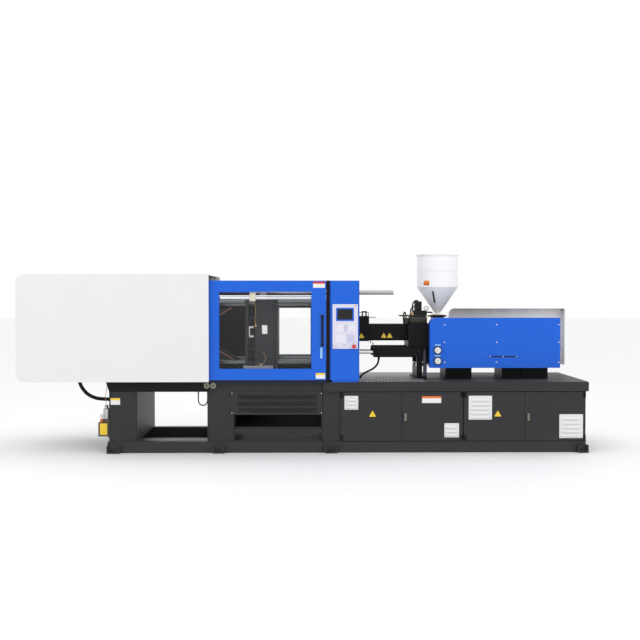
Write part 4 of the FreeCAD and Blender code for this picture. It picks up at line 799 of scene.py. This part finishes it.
class MACHINE_OT_injection(bpy.types.Operator):
    """Adds the gauges, scale, screws, triangles, valve block and fittings of the injection unit"""
    bl_idname = "machine.injection"
    bl_label = "Injection trim"

    def execute(self, context):
        face = COVER_FACE
        radius = context.scene.machine_sizes.screw_radius
        screws = [bolt_head((x, face, z), "y", radius, -0.004) for x in (1.453, 1.994, 2.640)
                  for z in (0.905, 1.113, 1.295)]
        add("cover_screws", "zinc_screw", "carriage", *screws)
        for number, z in enumerate((1.031, 0.920), 1):
            centre = (1.381, face, z)
            add("gauge_%d_case" % number, "black_plastic", "carriage",
                turned([(0, 0), (0, 0.04), (-0.02, 0.04), (-0.024, 0.038), (-0.024, 0.034), (-0.018, 0.033),
                        (-0.018, 0)], centre, "y", 36))
            add("gauge_%d_dial" % number, "white_plate", "carriage",
                turned([(-0.0185, 0), (-0.0185, 0.0328), (-0.0195, 0.0328), (-0.0195, 0)], centre, "y", 36))
            angle = np.radians(np.linspace(-45, 225, 11))
            ticks = [turned([(-0.0196, 0), (-0.0196, 0.0016), (-0.0201, 0.0016), (-0.0201, 0)],
                            (centre[0] + 0.027 * math.cos(a), face, z + 0.027 * math.sin(a)), "y", 6)
                     for a in angle]
            ticks.append(pipe([(centre[0] + 0.006, face - 0.0205, z + 0.005),
                               (centre[0] - 0.019, face - 0.0205, z - 0.016)], 0.0009, 5, 2))
            hub = [(-0.0196, 0), (-0.0196, 0.004), (-0.0225, 0.003), (-0.0225, 0)]
            ticks.append(turned(hub, centre, "y", 12))
            add("gauge_%d_marks" % number, "black_plastic", "carriage", *ticks)
            add("gauge_%d_plate" % number, "light_blue", "carriage",
                rounded_box((1.352, face - 0.0015, z + 0.046), (1.41, face, z + 0.06), 0.0005))
        add("stroke_scale", "blue_paint", "carriage",
            rounded_box((1.914, face - 0.003, 0.951), (2.211, face, 0.979), 0.002))
        add("stroke_slot", "black_plastic", "carriage",
            rounded_box((1.918, face - 0.0036, 0.959), (2.207, face - 0.0028, 0.971), 0.0004))
        add("scale_screws", "zinc_screw", "carriage",
            *[bolt_head((x, face - 0.003, 0.965), "y", 0.006, -0.004) for x in (1.925, 2.062, 2.2)])
        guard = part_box("purge_guard")
        fields = ((0.603, guard[0][1], "purge_guard"), (0.844, BARREL_FACE, "carriage"),
                  (0.907, BARREL_FACE, "carriage"))
        for number, (x, y, body) in enumerate(fields, 1):
            add("heat_field_%d" % number, "yellow_plate", body, triangle_plate(x, y, 1.165, 0.056))
        rim = frame_bars((0.560, guard[0][1] - 0.002, guard[0][2] + 0.006),
                         (0.680, guard[0][1], guard[1][2] - 0.008), 0.006)
        add("guard_rim", "black_paint", "purge_guard", rim)
        add("guard_rod", "steel", "purge_guard",
            pipe([(0.684, -0.06, 1.366), (0.7, -0.06, 1.366), (0.73, -0.06, 1.366), (0.765, -0.06, 1.364)],
                 0.006, 10))
        self.valve_block()
        self.hopper_trim()
        self.seat_trim()
        return {"FINISHED"}

    def valve_block(self):
        """Manifold, valve heads, coils and lever on top of the feed housing, in front of the hopper."""
        top = HOUSING_TOP
        add("manifold", "valve_olive", "carriage",
            rounded_box((1.12, -0.17, top), (1.3, 0.05, top + 0.075), 0.006),
            rounded_box((1.01, -0.15, top + 0.077), (1.3, -0.01, top + 0.092), 0.004),
            rounded_box((1.06, -0.13, top), (1.12, -0.03, top + 0.06), 0.005))
        heads = [rounded_box((1.165, -0.160, top + 0.092), (1.300, -0.040, top + 0.140), 0.006),
                 rounded_box((1.172, -0.150, top + 0.140), (1.246, -0.060, top + 0.237), 0.008),
                 turned([(0, 0), (0, 0.026), (0.050, 0.026), (0.056, 0.020), (0.056, 0)],
                        (1.148, -0.100, top + 0.116), "x", 24)]
        add("valve_heads", "black_plastic", "carriage", *heads)
        add("valve_lever", "black_plastic", "carriage",
            pipe([(1.262, -0.11, top + 0.115), (1.3, -0.112, top + 0.12), (1.332, -0.114, top + 0.121),
                  (1.365, -0.116, top + 0.118)], 0.008, 10))
        gauge = (1.290, -0.164, top + 0.164)
        add("valve_gauge", "steel", "carriage",
            turned([(0, 0), (0, 0.028), (-0.018, 0.028), (-0.02, 0.024), (-0.016, 0.023), (-0.016, 0)],
                   gauge, "y", 28))
        add("valve_gauge_dial", "white_plate", "carriage",
            turned([(-0.0165, 0), (-0.0165, 0.022), (-0.0172, 0.022), (-0.0172, 0)], gauge, "y", 28))
        nuts = [turned([(0, 0), (0, 0.013), (0.016, 0.013), (0.018, 0.008), (0.030, 0.008), (0.030, 0)],
                       (x, y, top + z), "z", 6)
                for x, y, z in ((1.080, -0.080, 0.060), (1.150, -0.150, 0.092),
                                (1.140, -0.030, 0.092), (1.190, -0.020, 0.075))]
        add("valve_fittings", "brass", "carriage", *nuts)
        lines = [[(1.150, -0.150, 0.130), (1.146, -0.154, 0.176), (1.150, -0.156, 0.210),
                  (1.166, -0.154, 0.238), (1.190, -0.146, 0.246), (1.208, -0.130, 0.236)],
                 [(1.140, -0.030, 0.118), (1.142, -0.030, 0.150), (1.170, -0.024, 0.178),
                  (1.215, -0.020, 0.170), (1.235, -0.018, 0.130), (1.236, -0.018, 0.070)],
                 [(1.080, -0.080, 0.085), (1.078, -0.086, 0.110), (1.062, -0.110, 0.120),
                  (1.050, -0.140, 0.080), (1.052, -0.160, 0.020), (1.056, -0.176, -0.030)]]
        shapes = [pipe([(x, y, top + z) for x, y, z in line], 0.0075, 12) for line in lines]
        add("valve_pipes", "black_plastic", "carriage", *shapes)
        bolts = [bolt_head((x, HOUSING_LOW[1], z), "y", 0.011, -0.009) for x in (1.130, 1.285)
                 for z in (1.090, 1.265)]
        bolts += [bolt_head((HOUSING_LOW[0], y, z), "x", 0.012, -0.010) for y in (-0.19, 0.19)
                  for z in (1.09, 1.26)]
        add("housing_bolts", "black_plastic", "carriage", *bolts)
        flange = turned([(-0.030, 0.0555), (-0.030, 0.085), (0, 0.088), (0, 0.0555), (-0.030, 0.0555)],
                        (HOUSING_LOW[0], 0, AXIS_Z), "x", 40)
        add("barrel_flange", "steel", "carriage", flange)

    def hopper_trim(self):
        """Sight glass, plate, seam rings, lid knob and the shut-off's end grips."""
        x = HOPPER_X
        cone = (HOPPER_LOW[2] + 0.022, HOPPER_LOW[2] + 0.297)
        share = np.array([0.42, 0.62, 0.84])
        reach = 0.030 + (0.2195 - 0.030) * share + 0.003
        rise = cone[0] + (cone[1] - cone[0]) * share
        turn = math.radians(248)
        line = [(x + r * math.cos(turn), r * math.sin(turn), h) for r, h in zip(reach, rise)]
        add("sight_rim", "steel", "carriage", pipe(line, 0.011, 12))
        glass = [(px, py - 0.0055, pz) for px, py, pz in line]
        add("sight_glass", "screen_glass", "carriage", pipe(glass, 0.0075, 12))
        bead = [(-0.003, 0.2193), (-0.003, 0.2215), (0.003, 0.2215), (0.003, 0.2193), (-0.003, 0.2193)]
        rings = [turned(bead, (x, 0, h), "z", 64) for h in (1.688, 1.860)]
        add("hopper_rings", "white_paint", "carriage", *rings)
        angle = np.radians(np.linspace(222, 240, 7))
        band = np.stack([x + 0.2205 * np.cos(angle), 0.2205 * np.sin(angle)], -1)
        rows = np.array([1.705, 1.755])
        front = np.concatenate([np.column_stack([band, np.full(7, h)]) for h in rows])
        plate = add("hopper_plate", "orange_plate", "carriage", (front, grid_faces(2, 7, False)))
        plate.modifiers.new("thick", "SOLIDIFY").thickness = 0.0008
        knob = turned([(0, 0), (0, 0.012), (0.008, 0.009), (0.014, 0.016), (0.018, 0.012), (0.019, 0)],
                      (x, 0, HOPPER_HIGH[2] + 0.0203), "z", 24)
        add("lid_knob", "black_plastic", "hopper_lid", knob)
        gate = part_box("hopper_gate")
        for name, x0, x1, look in (("grip", gate[0][0] - 0.004, gate[0][0] + 0.040, "ivory"),
                                   ("end", gate[1][0] - 0.028, gate[1][0] + 0.004, "brass")):
            add("shut_off_" + name, look, "hopper_gate",
                rounded_box((x0, -0.0408, gate[0][2] + 0.0002), (x1, 0.0408, gate[1][2] - 0.0002), 0.003))
        flange = turned([(0.0004, 0.032), (0.0004, 0.0628), (0.0084, 0.0628), (0.0084, 0.032)],
                        (x, 0, HOPPER_LOW[2]), "z", 48)
        add("hopper_foot", "ivory", "carriage", flange)

    def seat_trim(self):
        """End glands and ports of the seat cylinders and the small fittings on the bed."""
        rings = [turned([(-0.006, 0.0166), (-0.006, 0.030), (0, 0.034), (0, 0.0166), (-0.006, 0.0166)],
                        (SEAT_X, y, SEAT_Z), "x", 28) for y in (-SEAT_Y, SEAT_Y)]
        add("seat_glands", "black_plastic", "carriage", *rings)
        port = [(0, 0), (0, 0.014), (-0.012, 0.014), (-0.014, 0.010), (-0.024, 0.010), (-0.024, 0)]
        ports = [turned(port, (x, -0.251, 1.010), "y", 6) for x in (0.775, 1.200)]
        add("seat_ports", "black_plastic", "carriage", *ports)
        ends = [bolt_head((SEAT_X, y + a, SEAT_Z + b), "x", 0.007, -0.003) for y in (-SEAT_Y, SEAT_Y)
                for a in (-0.036, 0.036) for b in (-0.036, 0.036)]
        add("seat_bolts", "black_plastic", "carriage", *ends)
        studs = [turned([(0, 0), (0, 0.012), (0.014, 0.012), (0.016, 0.007), (0.034, 0.007), (0.034, 0)],
                        (x, y, BED_TOP + 0.004), "z", 6)
                 for x, y in ((0.640, -0.40), (0.760, -0.43), (0.900, -0.40))]
        add("bed_fittings", "zinc_screw", "root", *studs)


class MACHINE_OT_lubricator(bpy.types.Operator):
    """Adds the plate, filler cap, head, gauge and copper line of the grease pump"""
    bl_idname = "machine.lubricator"
    bl_label = "Grease pump"

    def execute(self, context):
        (_, y0, _), (_, y1, _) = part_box("lubricator")
        middle = (y0 + y1) / 2
        add("pump_field", "yellow_plate", "root",
            rounded_box((-2.081, y0 - 0.0015, 0.18), (-2.006, y0, 0.296), 0.0005))
        add("filler_cap", "orange_plate", "root",
            turned([(0, 0), (0, 0.0245), (0.024, 0.0235), (0.0292, 0.018), (0.0292, 0)],
                   (-2.068, middle, 0.308), "z", 28))
        add("pump_head", "steel", "root",
            rounded_box((-2.0495, y0 + 0.0195, 0.3395), (-1.9995, y1 - 0.0195, 0.4435), 0.004),
            turned([(0, 0), (0, 0.02), (0.03, 0.02), (0.034, 0.016), (0.034, 0)], (-2.025, middle, 0.443),
                   "z", 28))
        add("pump_gauge", "zinc_screw", "root",
            turned([(0, 0), (0, 0.02), (-0.014, 0.02), (-0.016, 0.016), (-0.016, 0)],
                   (-2.062, y0 + 0.02, 0.372), "y", 28))
        add("pump_line", "copper", "root",
            pipe([(-2.03, middle, 0.476), (-2.03, middle, 0.5), (-2.034, middle, 0.56),
                  (-2.028, middle, 0.62), (-2.022, middle, 0.66), (-2.01, middle, 0.7)], 0.003, 8))
        return {"FINISHED"}


HOSES = {
    "hose_main": (0.038, "root", "rubber", [(-2.362, -0.300, 0.900), (-2.362, -0.300, 0.790),
                  (-2.347, -0.300, 0.672), (-2.284, -0.300, 0.579), (-2.194, -0.300, 0.527),
                  (-2.088, -0.300, 0.514), (-1.981, -0.300, 0.514)]),
    "hose_bundle": (0.040, "carriage", "grey_hose", [(1.267, -0.215, 1.055), (1.267, -0.215, 0.985),
                  (1.268, -0.228, 0.915), (1.270, -0.242, 0.845), (1.268, -0.246, 0.780),
                  (1.266, -0.247, 0.722)]),
    "hose_loop": (0.012, "root", "rubber", [(-1.090, -0.500, 0.620), (-1.090, -0.500, 0.582),
                  (-1.091, -0.500, 0.544), (-1.088, -0.500, 0.506), (-1.076, -0.500, 0.482),
                  (-1.056, -0.500, 0.470), (-1.030, -0.500, 0.470), (-1.009, -0.500, 0.483),
                  (-0.997, -0.500, 0.507), (-0.994, -0.500, 0.544), (-0.995, -0.500, 0.582),
                  (-0.995, -0.500, 0.620)]),
    "hose_seat": (0.020, "carriage", "rubber", [(0.785, -0.200, 0.948), (0.785, -0.200, 0.908),
                  (0.768, -0.208, 0.865), (0.730, -0.216, 0.828), (0.682, -0.223, 0.803),
                  (0.636, -0.229, 0.785), (0.606, -0.233, 0.762), (0.584, -0.235, 0.730)]),
}


class MACHINE_OT_hoses(bpy.types.Operator):
    """Lays the hydraulic hoses on their routes as smooth curves, with crimped ends"""
    bl_idname = "machine.hoses"
    bl_label = "Hoses"

    def execute(self, context):
        for name, (diameter, body, look, route) in HOSES.items():
            curve = bpy.data.curves.new(name + "_line", "CURVE")
            curve.dimensions = "3D"
            spline = curve.splines.new("NURBS")
            spline.points.add(len(route) - 1)
            spline.points.foreach_set("co", np.column_stack([np.array(route), np.ones(len(route))]).ravel())
            spline.order_u = 3
            spline.use_endpoint_u = True
            spline.resolution_u = 16
            curve.bevel_depth = diameter / 2
            curve.bevel_resolution = 4
            curve.use_fill_caps = True
            curve.materials.append(FINISHES[look])
            piece = bpy.data.objects.new(name + "_line", curve)
            context.scene.collection.objects.link(piece)
            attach(piece, body)
            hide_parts(name)
            crimps = []
            for end, inward in ((route[0], route[1]), (route[-1], route[-2])):
                end, inward = np.array(end), np.array(inward)
                ahead = (inward - end) / np.linalg.norm(inward - end)
                line = [end + ahead * s for s in (0.001, 0.010, 0.020, 0.030)]
                crimps.append(pipe(line, diameter * 0.58, 18, straight=True))
            add(name + "_crimps", "black_plastic", body, *crimps)
        return {"FINISHED"}


class MACHINE_OT_covers(bpy.types.Operator):
    """Adds the clamp covers' screws, the rear cover's louvres and the rear bed panels"""
    bl_idname = "machine.covers"
    bl_label = "Cover trim"

    def execute(self, context):
        for side, node in ((-1, "front_clamp_cover"), (1, "rear_clamp_cover")):
            low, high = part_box(node)
            face = low[1] if side < 0 else high[1]
            heads = [bolt_head((x, face, high[2] - 0.022), "y", 0.005, side * 0.0015)
                     for x in np.linspace(low[0] + 0.12, high[0] - 0.06, 4)]
            add(node + "_screws", "white_paint", "root", *heads)
        low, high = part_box("rear_injection_cover")
        slats = louvre_sheet((low[0] + 0.50, low[0] + 0.86), (low[2] + 0.20, low[2] + 0.46), 0, 6, 0.010)
        points = slats[0] * np.array([1, -1, 1]) + np.array([0, high[1] + 0.0005, 0])
        add("rear_cover_louvres", "white_paint", "carriage", (points, slats[1]))
        panels, screws = [], []
        for x0, x1 in ((0.40, 0.98), (1.02, 1.60), (1.64, 2.22), (2.26, 2.84)):
            panels.append(rounded_box((x0, 0.625, 0.125), (x1, 0.643, 0.612), 0.003))
            screws += [bolt_head((x, 0.643, z), "y", 0.007, 0.004) for x in (x0 + 0.03, x1 - 0.03)
                       for z in (0.155, 0.582)]
        add("rear_bed_panels", "grey_paint", "root", *panels)
        add("rear_panel_screws", "zinc_screw", "root", *screws)
        slats = louvre_sheet((1.10, 1.52), (0.20, 0.54), 0, 7, 0.010)
        points = slats[0] * np.array([1, -1, 1]) + np.array([0, 0.6435, 0])
        add("rear_bed_louvres", "grey_paint", "root", (points, slats[1]))
        return {"FINISHED"}


class MACHINE_OT_stage(bpy.types.Operator):
    """Makes the pale floor, the soft lights and the camera"""
    bl_idname = "machine.stage"
    bl_label = "Stage"

    def execute(self, context):
        floor = bpy.data.meshes.new("floor")
        reach = 60.0
        corners = [(-reach, -reach, 0), (reach, -reach, 0), (reach, reach, 0), (-reach, reach, 0)]
        floor.from_pydata(corners, [], [(0, 1, 2, 3)])
        piece = bpy.data.objects.new("floor", floor)
        material = bpy.data.materials.new("pale_floor")
        material.use_nodes = True
        shader = material.node_tree.nodes["Principled BSDF"]
        shader.inputs["Base Color"].default_value = (0.93, 0.93, 0.93, 1)
        shader.inputs["Roughness"].default_value = 0.7
        floor.materials.append(material)
        context.scene.collection.objects.link(piece)
        world = bpy.data.worlds.new("studio")
        world.use_nodes = True
        world.node_tree.nodes["Background"].inputs["Color"].default_value = (1, 1, 1, 1)
        world.node_tree.nodes["Background"].inputs["Strength"].default_value = 1.0
        context.scene.world = world
        context.scene.view_settings.view_transform = "Standard"
        lamps = (("key", (-3.5, -7.5, 6.5), 5.0, 80.0), ("fill", (6.5, -6.0, 4.5), 5.0, 30.0),
                 ("top", (0.0, 1.0, 6.5), 6.0, 60.0))
        for name, place, size, energy in lamps:
            light = bpy.data.lights.new(name, "AREA")
            light.size = size
            light.energy = energy
            lamp = bpy.data.objects.new(name, light)
            lamp.location = place
            aim = np.array([0.2, 0.0, 1.0]) - np.array(place)
            lamp.rotation_euler = Vector(aim).to_track_quat("-Z", "Y").to_euler()
            context.scene.collection.objects.link(lamp)
        camera_data = bpy.data.cameras.new("camera")
        camera_data.lens = context.scene.machine_sizes.lens
        camera_data.sensor_width = 36.0
        camera_data.clip_end = 200.0
        camera = bpy.data.objects.new("camera", camera_data)
        camera.location = (0.0, -11.25, 1.611)
        camera.rotation_euler = Euler((math.radians(90 - 1.41), 0, math.radians(-0.85)))
        context.scene.collection.objects.link(camera)
        context.scene.camera = camera
        return {"FINISHED"}


class MACHINE_PT_panel(bpy.types.Panel):
    """Lists the machine's finishes and trim"""
    bl_label = "Moulding machine"
    bl_idname = "MACHINE_PT_panel"
    bl_space_type = "VIEW_3D"
    bl_region_type = "UI"
    bl_category = "Moulding machine"

    def draw(self, context):
        for group in (context.scene.machine_colours, context.scene.machine_sizes):
            for name in group.__annotations__:
                self.layout.prop(group, name)
        for step in STEPS:
            self.layout.operator(step.bl_idname)


STEPS = (MACHINE_OT_stage, MACHINE_OT_finishes, MACHINE_OT_hoses, MACHINE_OT_bed, MACHINE_OT_doors,
         MACHINE_OT_vents, MACHINE_OT_covers, MACHINE_OT_gates, MACHINE_OT_controls, MACHINE_OT_clamp,
         MACHINE_OT_injection, MACHINE_OT_lubricator)
CLASSES = (MachineColours, MachineSizes, *STEPS, MACHINE_PT_panel)


def register():
    """Adds the classes and hangs the colours and sizes on the scene."""
    for entry in CLASSES:
        bpy.utils.register_class(entry)
    bpy.types.Scene.machine_colours = bpy.props.PointerProperty(type=MachineColours)
    bpy.types.Scene.machine_sizes = bpy.props.PointerProperty(type=MachineSizes)


def unregister():
    """Takes away what register added."""
    del bpy.types.Scene.machine_sizes
    del bpy.types.Scene.machine_colours
    for entry in reversed(CLASSES):
        bpy.utils.unregister_class(entry)


def main():
    """Runs every step in order."""
    register()
    for step in STEPS:
        group, name = step.bl_idname.split(".")
        getattr(getattr(bpy.ops, group), name)()


if __name__ == "__main__":
    main()
